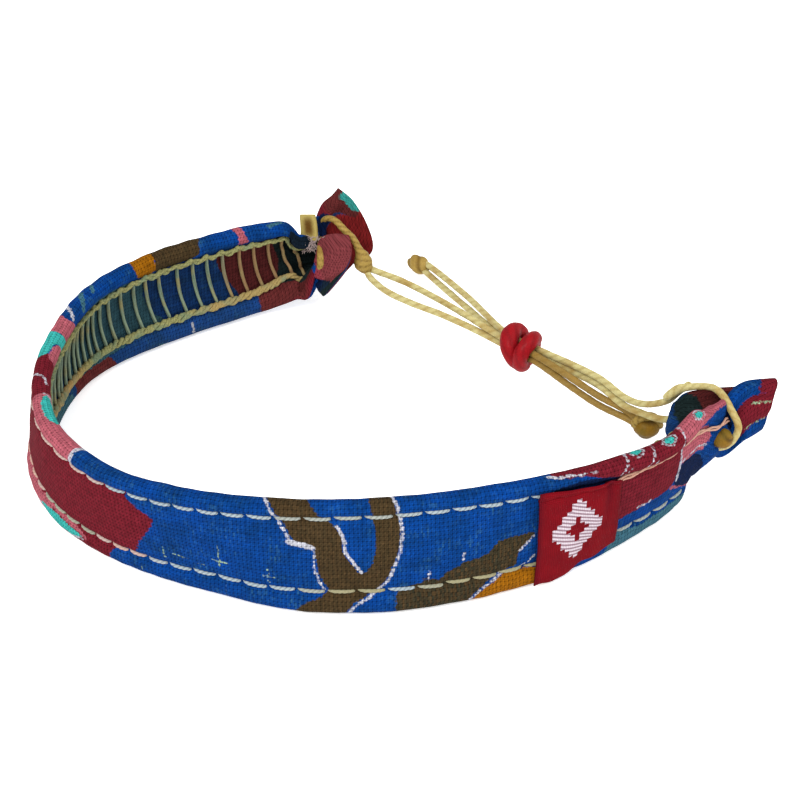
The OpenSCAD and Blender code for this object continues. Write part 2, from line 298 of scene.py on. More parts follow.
RINGS = 620
SIDES = 128
# The left tie grips the band at this row of STATIONS, which is this far along the band in mm.
NECK_ROW, LEFT_NECK = 2.0, 6.8
# Where each tie grips the band and how far its pleats reach, both in mm along the band.
NECKS = [(LEFT_NECK, 5.0), (149.9, 4.2)]
UPPER_ROW, LOWER_ROW = 5.1, -3.75
STITCH_LENGTHS = {
    # row: the hole that the count starts from, places along the band, stitch length there
    UPPER_ROW: (97.8, [70, 76, 90, 96, 106, 112], [3.1, 2.5, 2.5, 2.9, 3.1, 2.7]),
    LOWER_ROW: (97.0, [80, 84, 94, 98, 108, 112], [2.3, 2.7, 2.8, 3.0, 3.0, 2.8])}


# %% Band's section
def section_loop():
    """The closed section as SIDES points [across, deep], even in length, and their distance g
    round the girth in mm: 0 in the middle of the outer face and growing over the upper hem. The
    table's corners are softened with a moving average over 0.9 mm."""
    steps, window_steps = 3000, 91
    c = np.array(SECTION)
    loop = np.vstack([np.stack([c[:, 0], c[:, 1]], 1), np.stack([c[-2:0:-1, 0], -c[-2:0:-1, 2]], 1)])
    loop = np.vstack([loop, loop[:1]])
    scale = np.array([BAND_W, BAND_T])
    far = lengths_along(loop * scale)
    at = np.linspace(0, far[-1], steps, endpoint=False)
    fine = np.stack([np.interp(at, far, loop[:, k]) for k in (0, 1)], 1)
    window = np.hanning(window_steps) / np.hanning(window_steps).sum()
    fine = np.stack([np.convolve(np.tile(fine[:, k], 3), window, "same") for k in (0, 1)], 1)
    fine = fine[steps: 2 * steps]
    middle = np.argmin(np.abs(fine[:steps // 2, 0]))
    fine = np.roll(fine, steps // 2 - middle, axis=0)
    closed = np.vstack([fine, fine[:1]])
    far = lengths_along(closed * scale)
    at = np.linspace(0, far[-1], SIDES, endpoint=False)
    even = np.stack([np.interp(at, far, closed[:, k]) for k in (0, 1)], 1)
    return even, at - far[-1] / 2, far[-1]


# %% Band's sweep
def band_skin(s, across, deep):
    """Points of the band in mm at rows s of STATIONS. Across the section the cloth is bent to an
    arc of curl degrees, the upper hem is folded by flap degrees, the whole is leant by lean, and
    its corners lag behind; then it is lifted so that its lowest point is at lift."""
    q = rows_at(STATIONS, s)[:, None, :]
    ahead = rows_at(STATIONS, s + 0.01)[:, :2] - rows_at(STATIONS, s - 0.01)[:, :2]
    ahead = unit(np.column_stack([ahead, 0 * s]))[:, None, :]
    out = np.cross(ahead, UP)
    w = BAND_W * q[..., WIDTH]
    u, n = across * w, deep * BAND_T * q[..., THICK]
    curl = np.maximum(q[..., CURL], 1)
    r, half = w / np.radians(curl), np.radians(curl / 2)

    def bent(u, n):
        """How high and how far out a place of the bent section lies."""
        turn = (u + q[..., SHIFT]) / r
        return (r + n) * np.sin(turn), (r + n) * np.cos(turn) - r * np.sin(half) / half

    high, far = bent(u, n)
    fold_at = w / 2 - HEM_W
    root_high, root_far = bent(fold_at + 0 * u, 0 * n)
    fold = np.radians(np.maximum(0, q[..., FLAP])) * np.clip((u - fold_at) / 0.8, 0, 1)
    dh, df = high - root_high, far - root_far
    over = u > fold_at
    high = np.where(over, root_high + dh * np.cos(fold) - df * np.sin(fold), high)
    far = np.where(over, root_far + dh * np.sin(fold) + df * np.cos(fold), far)
    lean = np.radians(q[..., LEAN])
    part = np.abs(2 * u / w)
    lag = np.where(u > 0, q[..., LAG_HIGH] * part**2, q[..., LAG_LOW] * part**1.2)
    end = np.where(s > len(STATIONS) / 2, 1, -1)[:, None]
    base = np.concatenate([q[..., :2], 0 * q[..., :1]], -1)
    points = base + UP * (high * np.cos(lean) - far * np.sin(lean))[..., None]
    points = points + out * (high * np.sin(lean) + far * np.cos(lean))[..., None]
    points = points - ahead * (end * lag)[..., None]
    rise = np.maximum(0, q[:, 0, LIFT]) - points[..., 2].min(1)
    return points + rise[:, None, None] * UP


def grid_normals(points):
    """Normals of a grid of rings, from the differences to the four neighbours. They are turned
    so that on the whole they point away from the rings' middles."""
    along_rings = np.gradient(points, axis=0)
    round_rings = np.roll(points, -1, axis=1) - np.roll(points, 1, axis=1)
    normals = unit(np.cross(along_rings, round_rings))
    outwards = (normals * (points - points.mean(1, keepdims=True))).sum()
    return normals if outwards > 0 else -normals


# %% [markdown]
# ## The gathered ends
# Beyond each tie the cloth opens like a fish's mouth. There the middle of the cloth is given by
# rings of nine places from the upper hem's edge to the lower one's, each [right, up, near] in
# mm along the camera's own directions, since that is how the folds can be read off a photo.

# %% Ends' tables
ACROSS = [0.5, 0.4, 0.25, 0.1, -0.05, -0.2, -0.35, -0.45, -0.5]
LEFT_END = {
    # distance along the band: the ring's nine places
    6.8: [[-9.9, 20.0, -12.8], [-10.1, 20.2, -13.9], [-10.2, 19.4, -15.2], [-10.3, 17.9, -16.4],
        [-10.3, 16.8, -16.0], [-10.1, 15.9, -14.3], [-10.1, 16.2, -13.0], [-10.2, 16.8, -12.2],
        [-10.2, 17.3, -12.0]],
    5.6: [[-9.9, 21.9, -13.0], [-9.5, 22.0, -13.8], [-9.1, 20.9, -14.8], [-8.9, 18.9, -15.5],
        [-9.0, 16.9, -15.2], [-10.2, 14.8, -13.6], [-9.9, 15.5, -12.6], [-9.6, 17.6, -11.8],
        [-9.7, 19.7, -11.6]],
    3.0: [[-9.5, 23.9, -13.2], [-8.4, 23.9, -14.2], [-7.0, 21.9, -15.6], [-6.4, 19.2, -16.3],
        [-7.2, 16.9, -15.8], [-9.9, 13.9, -13.2], [-8.3, 15.4, -12.0], [-8.0, 17.8, -11.2],
        [-8.2, 20.5, -11.2]],
    0.0: [[-7.7, 26.3, -13.5], [-6.0, 24.9, -15.0], [-4.3, 22.2, -16.5], [-3.5, 18.9, -17.0],
        [-5.7, 17.2, -16.5], [-9.2, 13.0, -13.0], [-6.6, 16.1, -11.5], [-5.9, 18.4, -11.0],
        [-6.3, 20.4, -11.0]]}
RIGHT_END = {
    145.6: [[32.7, -0.9, 20.8], [33.0, -1.9, 20.2], [33.3, -3.7, 19.2], [33.1, -5.6, 18.0],
        [32.3, -7.1, 16.6], [31.1, -7.4, 15.2], [30.6, -5.6, 14.2], [30.5, -3.9, 13.8],
        [30.5, -2.8, 13.8]],
    147.6: [[33.9, -0.3, 18.8], [34.4, -1.2, 18.4], [34.8, -3.0, 17.6], [34.5, -4.9, 16.4],
        [33.6, -5.9, 15.2], [32.2, -5.1, 14.2], [31.0, -2.9, 14.2], [30.5, -1.0, 14.6],
        [30.7, 0.2, 15.0]],
    149.6: [[34.7, -1.1, 17.4], [35.2, -1.8, 17.2], [35.7, -3.4, 16.6], [35.4, -5.0, 15.4],
        [34.6, -5.5, 14.4], [33.5, -4.4, 13.8], [32.7, -2.2, 14.4], [32.7, -0.1, 15.0],
        [33.1, 1.0, 15.4]],
    152.2: [[37.4, 1.3, 15.5], [37.5, 1.0, 17.2], [37.9, -0.9, 17.4], [37.9, -2.8, 16.2],
        [37.4, -4.2, 14.8], [36.7, -3.5, 13.2], [36.3, -1.7, 12.8], [36.2, 0.0, 13.2],
        [37.1, 1.4, 15.0]],
    154.7: [[40.7, 2.1, 15.0], [41.0, 1.5, 16.4], [40.4, 0.0, 16.8], [39.9, -1.6, 16.0],
        [39.5, -3.0, 14.4], [39.0, -2.7, 12.6], [39.1, -0.9, 12.0], [39.6, 0.8, 12.4],
        [40.6, 2.15, 14.6]]}
CAMERA_RIGHT = np.array([1.0, 0.0, 0.0])
CAMERA_UP = np.cross(back, CAMERA_RIGHT)
# Each end grows out of the sweep between these two rows of STATIONS.
LEFT_BLEND, RIGHT_BLEND = (3.0, 3.45), (17.6, 18.0)


# %% Ends' surface
def to_world(places):
    """Places [right, up, near] in mm from the camera's target, as points in the row frame."""
    p = np.asarray(places, float)
    return TARGET + p[..., :1] * CAMERA_RIGHT + p[..., 1:2] * CAMERA_UP + p[..., 2:3] * back


def end_skin(rings, a, across, deep, thick):
    """Points near one end of the band. The middle of the cloth is a smooth net through rings of
    nine places, and the skin is deep * thick mm off it along the net's normal. rings is a list
    of (distance along the band, nine points)."""
    at = [ring[0] for ring in rings]
    net = np.array([ring[1] for ring in rings])
    k = np.interp(a, at, np.arange(len(at)))
    j = np.interp(-across, -np.array(ACROSS), np.arange(9.0))

    def middle(k, j):
        """Points of the net at ring k and column j."""
        columns = np.stack([rows_at(net[:, c], k) for c in range(9)], 1)
        return np.stack([rows_at(row, j) for row in columns])

    here = middle(k, j)
    along_k = middle(k + 0.02, j) - middle(k - 0.02, j)
    along_j = middle(k, j + 0.02) - middle(k, j - 0.02)
    side = unit(np.cross(along_j, along_k))
    return here + side * (deep * thick[:, None])[..., None]


# %% Band's smooth surface
fine_s = np.linspace(0, len(STATIONS) - 1, 4000)
plan = lengths_along(rows_at(STATIONS, fine_s)[:, :2])
plan = plan - np.interp(NECK_ROW, fine_s, plan) + LEFT_NECK
ring_a = np.linspace(plan[0], plan[-1], RINGS)
ring_s = np.interp(ring_a, plan, fine_s)
section, girth, GIRTH = section_loop()
HALF = GIRTH / 2
plain = band_skin(ring_s, section[None, :, 0], section[None, :, 1])
table_across = [row[0] for row in SECTION]
table_middle = [0.5 * (row[1] - row[2]) for row in SECTION]
ring_middle = np.interp(ACROSS, table_across, table_middle)
off_middle = section[:, 1] - np.interp(section[:, 0], table_across, table_middle)
thick = BAND_T * rows_at(STATIONS, ring_s)[:, THICK]
for table, blend in ((LEFT_END, LEFT_BLEND), (RIGHT_END, RIGHT_BLEND)):
    left = table is LEFT_END
    rings = [(a, to_world(places)) for a, places in table.items()]
    for s in blend:
        ring = band_skin(np.array([s]), np.array([ACROSS]), ring_middle[None])[0]
        rings.append((float(np.interp(s, fine_s, plan)), ring))
    rings.sort(key=lambda ring: ring[0])
    start, stop = (rings[-2][0], rings[-1][0]) if left else (rings[0][0], rings[1][0])
    use = ring_a < stop if left else ring_a > start
    bent = end_skin(rings, ring_a[use], section[:, 0], off_middle[None], thick[use])
    outwards = stop - ring_a[use] if left else ring_a[use] - start
    share = np.clip(outwards / (stop - start), 0, 1)[:, None, None]
    share = share**2 * (3 - 2 * share)
    plain[use] = plain[use] * (1 - share) + bent * share
plain[..., 2] = np.maximum(plain[..., 2], 0.0)
normal = grid_normals(plain)
A, G = np.meshgrid(ring_a, girth, indexing="ij")
print("band is", round(plan[-1] - plan[0], 1), "mm long and", round(GIRTH, 2), "mm round its section")


# %% Stitch holes and relief
def bump_at(centre, width):
    """A bell from 0 to 1 round one place on the girth."""
    return np.exp(-(((G - centre) / width) ** 2))


def holes_along(row):
    """The holes of a stitch row, counted both ways from one of them until they are past the
    band's ends. Each step is the stitch's length, read half a stitch further on."""
    first, places, lengths = STITCH_LENGTHS[row]
    half, past_end = 1.4, 156
    holes = [first]
    while holes[-1] < past_end:
        holes.append(holes[-1] + np.interp(holes[-1] + half, places, lengths))
    while holes[0] > 0:
        holes.insert(0, holes[0] - np.interp(holes[0] - half, places, lengths))
    return np.array(holes)


HOLES = {row: holes_along(row) for row in (UPPER_ROW, LOWER_ROW)}


def stitch_phase(a, row):
    """Where a place lies in its stitch, from 0 at one hole to 1 at the next."""
    return np.interp(a, HOLES[row], np.arange(len(HOLES[row]))) % 1.0


def row_at(row, a):
    """Where a stitch row runs: the upper one comes down by 0.8 mm past the label."""
    return row - (0.8 * np.clip((a - 126) / 4, 0, 1) if row > 0 else 0.0 * a)


def relief():
    """How far the cloth stands off its smooth surface, in mm: a groove with deeper holes along
    each stitch row, hems that swell between the holes, slow waves, and pleats at the necks."""
    height = 0.045 * wave_noise(A, G * 1.3, 3, slow=0.25, fast=1.1)
    height += 0.02 * wave_noise(A, G, 8, slow=1.6, fast=3.4)
    for row in (UPPER_ROW, LOWER_ROW):
        hole = np.cos(2 * math.pi * stitch_phase(A, row)) * 0.5 + 0.5
        at = row_at(row, A)
        height -= bump_at(at, 0.42) * (0.10 + 0.16 * hole**3)
        side = 1 if row > 0 else -1
        swell = bump_at(at + side * 1.5, 1.1) - 0.6 * bump_at(at - side * 1.4, 1.0)
        height += swell * 0.06 * (0.5 - hole)
    turned = 2 * math.pi * G / GIRTH
    for neck, reach in NECKS:
        near = np.exp(-(((A - neck) / reach) ** 2))
        height += 0.22 * near * np.sin(turned * 11 + 0.25 * (A - neck))
        height += 0.12 * near * np.sin(turned * 19 - 0.4 * (A - neck))
    return height


height = relief()
cloth = plain + normal * height[..., None]
cloth[..., 2] = np.maximum(cloth[..., 2], 0.0)
normal = grid_normals(cloth)
print("relief from", round(height.min(), 2), "to", round(height.max(), 2), "mm")


def on_band(a, g, lift=0.0):
    """Points on the cloth at distance a along the band and g round its girth, raised by lift, all
    in mm: the four nearest points of the grid are blended by their distances."""
    a, g, lift = np.broadcast_arrays(np.asarray(a, float), np.asarray(g, float), np.asarray(lift, float))
    i = np.clip((a - ring_a[0]) / (ring_a[1] - ring_a[0]), 0, RINGS - 1.001)
    j = ((g + HALF) / GIRTH * SIDES) % SIDES
    i0, j0 = np.floor(i).astype(int), np.floor(j).astype(int) % SIDES
    fi, fj = (i - i0)[..., None], (j - np.floor(j))[..., None]
    j1 = (j0 + 1) % SIDES

    def blend(grid):
        """One grid, read between its four nearest points."""
        near = grid[i0, j0] * (1 - fj) + grid[i0, j1] * fj
        return near * (1 - fi) + (grid[i0 + 1, j0] * (1 - fj) + grid[i0 + 1, j1] * fj) * fi

    return blend(cloth) + unit(blend(normal)) * lift[..., None]


# %% [markdown]
# ## The print
# The cotton is printed with loose shapes in flat colours, and thin unprinted outlines are left
# round some of them. A few shapes in the same tables are painted shadow, not print: in the folds
# at both gathered ends, under the fold over the label and beside the right tie. Each shape is a
# smooth closed line through a few places, given as distance along the band and round the girth.
# At every point of the cloth the distance to the nearest edge is worked out, below zero inside,
# and the shader cuts it at zero with a threadlike jitter. An image laid on the cloth would do too,
# but these edges stay sharp however near one looks.

# %% Print's shapes
INKS = {
    "red": [
        [(153.4, 4.6), (154.2, 6.4), (157, 6.8), (157, 4)],
        [(50, 5.5), (56, 6), (62, 5.8), (70, 5.4), (78.6, 5.5), (79.6, 4.6), (81, 3.5), (82.3, 2.7),
            (82, 1.5), (80.9, -0.3), (80.2, -1.5), (79.4, -3.2), (78, -3.6), (76.5, -4.3),
            (75.5, -6), (74.6, -8), (70, -8.8), (62, -8.4), (54, -7.8), (49, -5), (47.5, 0), (48, 4)],
        [(53.5, 5.2), (53, 7), (53.6, 8.2), (55, 9.8), (62, 9.8), (61.5, 7.5), (62.5, 5.4)],
        [(9, 10.5), (14, 10.2), (20, 10.6), (20.8, 11.6), (20, 14), (18.4, 16.8), (17.4, 18.1), (13, 18.4),
            (9.5, 18.4), (8.5, 15)],
        [(8, -7.2), (12, -6.8), (15, -7.5), (15.5, -9.5), (15.2, -11.6), (12, -12.2), (8, -12)],
        [(35.6, -8), (37, -7), (42, -7.2), (44, -9), (43, -12), (38.5, -11.8), (36.5, -10.2)],
        [(123.5, 7.2), (127, 6.6), (131, 5.2), (139.5, 5.4), (139.8, 7.5), (138.5, 9.6), (130, 10),
            (124, 9.6)],
        [(130, 5.4), (135, 5.6), (139.6, 5), (139.7, 2.5), (139, -0.6), (135, -1.2), (130, -1.4),
            (128.5, 2)],
        [(150.5, 1.4), (153, 1.5), (157, 1.6), (157, 4.5), (153, 4.4), (150.5, 4)],
        [(148.6, -7.2), (150, -7.3), (152, -7.4), (152, -9.5), (150.5, -11), (149, -10.5), (148.4, -9)],
        [(-1, 3), (0.8, 3), (1.4, 5.2), (3, 5.4), (4.4, 6), (4.4, 9), (2.5, 10.2), (1.2, 11), (-1, 10.6)],
        [(18, 3), (24, 4.5), (30, 2), (31, -2), (26, -4.5), (20, -3), (16, 0)]],
    "pink": [
        [(16.8, 9.6), (17.2, 8), (17.6, 6.2), (18.4, 6.4), (18.2, 8), (17.9, 9.7)],
        [(45.2, 6), (46, 7.5), (45.4, 9.8), (48.6, 9.8), (48.8, 7.5), (48.2, 6)],
        [(50.6, 9.8), (51, 8), (52.5, 7.6), (54, 7.8), (54.2, 9.8)],
        [(62, 5.4), (66, 5.3), (71.4, 5.4), (72.5, 6.2), (72.6, 8), (72.8, 9.8), (66, 10.2), (61.6, 9.6),
            (61.2, 7.5)],
        [(53, -3.6), (58, -3.4), (63, -4), (67, -4.8), (67, -5.8), (62, -6.8), (56, -6.6), (52.5, -5.5)],
        [(139.5, 6), (144.8, 6.2), (149.2, 6), (149.6, 7.4), (149, 9.4), (144.8, 9.7), (140, 9.8)],
        [(0.9, -3.6), (2.5, -3.7), (5, -4.3), (7, -4.5), (7.2, -5.5), (6.9, -8.3), (4, -8.6), (-1, -8.4),
            (-1, -6), (0.3, -4.6)],
        [(139.8, 1.9), (142, 2.2), (144.4, 2.6), (144.6, 4.6), (140.4, 5)],
        [(33, 1), (38, 3.6), (43, 2), (42, -2), (37, -3.4), (33, -2)]],
    "teal": [
        [(48.7, 6), (50, 5.8), (53.6, 6.2), (53, 7.4), (51, 7.8), (50.4, 9.6), (48.9, 9.7), (48.9, 7.6)],
        [(61.5, 7.9), (63, 8.7), (66, 8.7), (67.5, 8), (66, 7.3), (63, 7.2)],
        [(64, -5.4), (67, -4.6), (70, -4.7), (72, -5.2), (69.5, -5.9), (66, -6)],
        [(132.3, 8.2), (133, 8.7), (133.7, 8.2), (133, 7.7)],
        [(136.6, 8), (137.3, 8.5), (138, 8), (137.3, 7.5)],
        [(142.1, 7.5), (142.8, 8), (143.5, 7.5), (142.8, 7)],
        [(22, 0.6), (25, 1.6), (27.6, 0), (25, -1.4)],
        [(-1, 8.4), (0.7, 8.3), (1.1, 9.2), (0.8, 10.2), (-1, 10.4)]],
    "brown": [
        [(93.6, 11), (93.8, 8.4), (95.5, 5.5), (96.3, 4), (97, 2.6), (98.2, 2.2), (99, 1.5), (99.2, -0.5),
            (99.8, -2.5), (100.3, -3.5), (99.5, -4.3), (97.5, -5.5), (96.8, -7.4), (97.4, -9.5),
            (102, -9.5), (101.8, -7), (102.2, -5.8), (102.8, -5), (104, -4.2), (105.2, -3.2),
            (106, -2.2), (106.6, -0.8), (107.2, 1), (107.4, 3), (107.4, 4.5), (107, 6), (106.9, 8.4),
            (106.8, 11), (104.2, 11), (104.4, 8), (104.6, 6), (104.9, 4), (105, 2), (104.8, 0.5),
            (104.3, -0.8), (103.5, -1.4), (102.5, 0), (101.8, 1.2), (101.6, 3), (101, 4.3),
            (99.8, 5.3), (98.5, 7), (98, 8.6), (98, 11)],
        [(22.4, 6), (23, 7.4), (24.2, 9.8), (29.6, 9.9), (29.5, 8), (29.8, 6), (26, 5.4)]],
    "olive": [
        [(106.4, -8.5), (106.8, -7), (107, -4.2), (107.8, -3.6), (109.5, -3.1), (109.8, -2.6),
            (111.2, -2.9), (112, -2.2), (113.3, -1.6), (114, -1.2), (116, -0.8), (117.5, 0.6),
            (119.5, 0.8), (121.2, 0.7), (120.6, -0.2), (119.7, -1.1), (119.5, -2.4), (119.3, -3), (117, -3.9),
            (115.5, -4.9), (114.4, -6), (114, -8), (110, -9)]],
    "ochre": [
        [(114.5, -7.5), (114.8, -6.2), (115.5, -5.3), (117, -4.5), (118.5, -3.8), (120, -3.9),
            (122, -4.2), (124, -6), (124, -9), (118, -9.5), (115, -9)],
        [(29.5, 6), (29.5, 8), (29.7, 9.9), (31.8, 9.9), (32.4, 8), (32, 6.2)]],
    # Two of these shapes are painted shadow: the one under the fold over the label (a 123 to 130.6) and the
    # one beside the right tie's cord (a 147.6 to 150.4).
    "navy": [
        [(139.8, 1.4), (142, 1.6), (144.4, 0.8), (145.4, -0.8), (143, -2.8), (139.6, -1)],
        [(147.6, 3.6), (149.6, 3.8), (150.4, 5.2), (149.6, 6), (148, 5.8)],
        [(123, 5.6), (125, 6.2), (128, 6.2), (130.6, 5.5), (130.6, 4.4), (123.4, 4.6)],
        [(1.2, -3.7), (3, -4), (5, -4.4), (7, -4.6), (7.4, -2), (6.5, -0.5), (3, -0.8), (1, -1.2)],
        [(4, 7.3), (5, 9.6), (7.4, 9.8), (7.6, 7.4), (6, 6.8)]],
    "white": [
        [(96.2, 2.6), (97.5, 2.5), (98.9, 2.0), (99, 1.6), (97.6, 1.8), (96.5, 2.1)]],
    "slate": [
        [(44, 10.2), (31.8, 10.2), (31, 13), (29.8, 16), (29.2, 18.4), (44, 18.4)],
        [(131, -4.2), (135, -4.4), (140, -4.3), (143.5, -4.8), (143.6, -9), (131, -9)],
        [(51, -9.6), (48, -8.8), (45.6, -8), (44.8, -10), (48, -11.6), (52, -11)],
        [(-1, -2.8), (0.6, -2.8), (0.7, 0), (0.6, 2), (-1, 2.4)]],
    # Painted shadow, near black: these shapes lie in the folds at both gathered ends.
    "dark": [
        [(7.4, 6.1), (9.2, 6.2), (10.4, 6.9), (11.2, 7.9), (11.2, 8.8), (9, 9.2), (7.4, 9)],
        [(6.8, 9.6), (10, 9.2), (12.6, 9.6), (13, 12), (12.2, 15), (12.6, 18), (10, 19.4), (6.8, 19.6)],
        [(-1, -4.9), (0.6, -4.6), (1.4, -3.6), (1.6, -3), (1, -2.3), (-1, -2.3)],
        [(147.4, -8), (148.8, -7.8), (149.6, -9), (149.2, -10.6), (147.8, -10.8)]],
    "scarlet": [
        [(-1, 10.8), (1.2, 10.8), (3, 10.2), (5, 10.5), (7, 11), (7, 15), (6, 18), (1.5, 19),
            (1.2, 22), (-1, 22)]]}
STROKES = {
    # width, then the places that the stroke runs through
    "white": [
        [0.26, (93.4, 8.6), (95.1, 5.5), (95.9, 4), (96.6, 2.6)],
        [0.20, (98.9, 1.4), (98.9, -0.5), (99.4, -2.4), (99.9, -3.6)],
        [0.30, (101.2, 4.3), (101.8, 3), (102, 1.3), (102.7, 0.1), (103.5, -1.2)],
        [0.30, (106.5, 8.6), (107.1, 6.5), (107.5, 4.5), (107.6, 3), (107.4, 1), (106.8, -0.8),
            (106.2, -2.3), (105.3, -3.4), (104.1, -4.5), (102.9, -5.3), (102.2, -6.4)],
        [0.16, (110.2, -3), (110.3, -1.6)],
        [0.16, (113.8, -1.1), (113.8, 0)],
        [0.24, (121.2, 0.3), (120.4, -0.5), (119.6, -1.2)],
        [0.22, (121.4, -2.3), (120.6, -3.2), (119.7, -3.7)],
        [0.24, (114.4, -6.4), (115.5, -5.1), (117, -4.3), (118.5, -3.6), (120, -3.7)],
        [0.42, (43.4, 6.4), (44.4, 7.4), (45.4, 8.2)],
        [0.3, (57, 6.4), (58, 7.6), (59.2, 8)],
        [0.3, (61.2, 7.6), (61.8, 8.5), (63.2, 9)],
        [0.5, (72.5, 5.6), (72.6, 7), (73, 8.4)],
        [0.3, (63.6, -5.5), (66, -6.2), (69.4, -6.1), (72, -5.3)],
        [0.3, (24.7, -9), (24.8, -10.5)],
        [0.34, (122.8, 7.4), (123.8, 7.1), (125, 7.15)], [0.22, (124.8, 7.1), (126.2, 6.9), (127.8, 6.9)],
        [0.22, (130.4, 5.6), (131.4, 7.2), (131.9, 9.2)], [0.16, (131, 5.2), (131.9, 6.6)],
        [0.22, (133.8, 5.6), (134.8, 7.3), (135.3, 9.2)], [0.16, (134.4, 5.2), (135.2, 6.4)],
        [0.22, (138.2, 5.6), (139.2, 7.4), (139.7, 9)],
        [0.18, (132, 8.2), (133, 8.9), (134, 8.2), (133, 7.5), (132, 8.2)],
        [0.18, (136.3, 8), (137.3, 8.7), (138.3, 8), (137.3, 7.3), (136.3, 8)],
        [0.18, (141.8, 7.5), (142.8, 8.2), (143.8, 7.5), (142.8, 6.8), (141.8, 7.5)],
        [0.2, (139.6, 1.9), (142, 2.1), (144.6, 2.5)],
        [0.24, (134, -1), (135, -1.1), (136, -1)],
        [0.3, (139.7, -0.5), (139.8, 2), (139.7, 4.5)]],
    "slate": [
        [0.7, (40.6, 6.8), (41.6, 7.6), (42.6, 8.6)], [0.5, (38.6, 7), (39.4, 7.8)],
        [0.5, (12, 6.6), (14, 7.4)],
        [0.4, (33.6, -8.2), (34.4, -9)], [0.5, (28, -8.4), (29.4, -8.9)]],
    "pink": [
        [0.3, (132.6, 4.8), (134, 5.2), (136, 5.4)],
        [0.5, (0.4, 12.3), (1.4, 12.1), (2.2, 11.8)],
        [0.5, (140, 1.4), (142, 1.9), (144, 2.1)],
        [0.5, (139, -1), (141, -1.9), (143, -3)],
        [0.5, (63.4, -4.5), (67, -4.2), (70.5, -4.3), (72.4, -4.9)]],
    "thread": [
        [0.16, (152.4, 3.8), (154.4, 3.4)], [0.16, (151.6, 1.6), (154.2, 1.5)],
        [0.12, (89.2, -2), (89.3, 1)], [0.12, (88.4, -1.2), (90.4, -1.4)], [0.12, (94.3, -3), (94.3, -1)],
        [0.1, (93.6, -2.2), (95, -2.3)], [0.1, (84, -1.8), (86, -2)], [0.1, (86.4, -2.4), (87.6, -2.4)],
        [0.1, (80, -5.2), (80, -6.6)], [0.1, (89.6, -4.6), (89.6, -6.4)], [0.1, (83, -1.1), (83, -2.6)]]}


# %% Print's fields
def smooth_line(places, closed):
    """A polyline of short steps through the places of a shape, round and back if it is closed."""
    p = np.array(places, float)
    steps = 5 * len(p)
    if closed:
        return rows_at(np.vstack([p[-2:], p, p[:3]]), np.linspace(2, 2 + len(p), steps + 1))
    return rows_at(p, np.linspace(0, len(p) - 1, steps))


def distance_to(line, a, g):
    """Shortest distance from places (a, g) to the pieces of a polyline."""
    best = np.full(a.shape, 1e9)
    for p, q in zip(line[:-1], line[1:]):
        d = q - p
        t = np.clip(((a - p[0]) * d[0] + (g - p[1]) * d[1]) / max(d @ d, 1e-9), 0, 1)
        best = np.minimum(best, (a - p[0] - t * d[0]) ** 2 + (g - p[1] - t * d[1]) ** 2)
    return np.sqrt(best)


def inside(line, a, g):
    """Which places lie inside a closed polyline, by counting the edges crossed on the way out."""
    odd = np.zeros(a.shape, bool)
    for p, q in zip(line[:-1], line[1:]):
        if p[1] != q[1]:
            crossing = p[0] + (g - p[1]) / (q[1] - p[1]) * (q[0] - p[0])
            odd ^= ((p[1] > g) != (q[1] > g)) & (a < crossing)
    return odd


def ink_field(name):
    """Distance to the edge of one colour at every point of the cloth, in mm and below zero
    inside. The girth closes on itself, so each shape is also laid one girth up and down."""
    far_off, margin = 2.0, 1.6
    field = np.full(A.shape, far_off)
    lines = [(smooth_line(shape, True), 0.0, True) for shape in INKS.get(name, [])]
    lines += [(smooth_line(stroke[1:], False), stroke[0] / 2, False) for stroke in STROKES.get(name, [])]
    for line, half_width, closed in lines:
        for shift in (-GIRTH, 0.0, GIRTH):
            moved = line + [0, shift]
            low, high = moved.min(0) - margin, moved.max(0) + margin
            near = (A > low[0]) & (A < high[0]) & (G > low[1]) & (G < high[1])
            if near.any():
                a, g = A[near], G[near]
                d = distance_to(moved, a, g)
                d = np.where(inside(moved, a, g), -d, d) if closed else d - half_width
                field[near] = np.minimum(field[near], d)
    return field


# The colours in the order in which they cover each other. Three fields go into one attribute.
INK_GROUPS = [
    ["red", "pink", "teal"], ["brown", "olive", "ochre"], ["navy", "scarlet", "slate"],
    ["dark", "white", "thread"]]
ink = {name: ink_field(name) for names in INK_GROUPS for name in names}
shapes, strokes = sum(map(len, INKS.values())), sum(map(len, STROKES.values()))
print("print has", shapes, "shapes and", strokes, "strokes")

# %% [markdown]
# ## Materials
# Printed cotton is a plain weave: each yarn goes over one and under the next, so small gaps
# stand in a square grid, and shade is painted into them. The weave is worked out from the piece's
# own map in mm. Waxed cord is a little glossy, and shade is painted into the grooves between its yarns.


# %% Nodes
def rgb(red, green, blue):
    """A colour given as on a screen, 0 to 255, as linear light for the shader."""
    c = np.array([red, green, blue]) / 255
    return (*np.where(c < 0.04045, c / 12.92, ((c + 0.055) / 1.055) ** 2.4), 1.0)


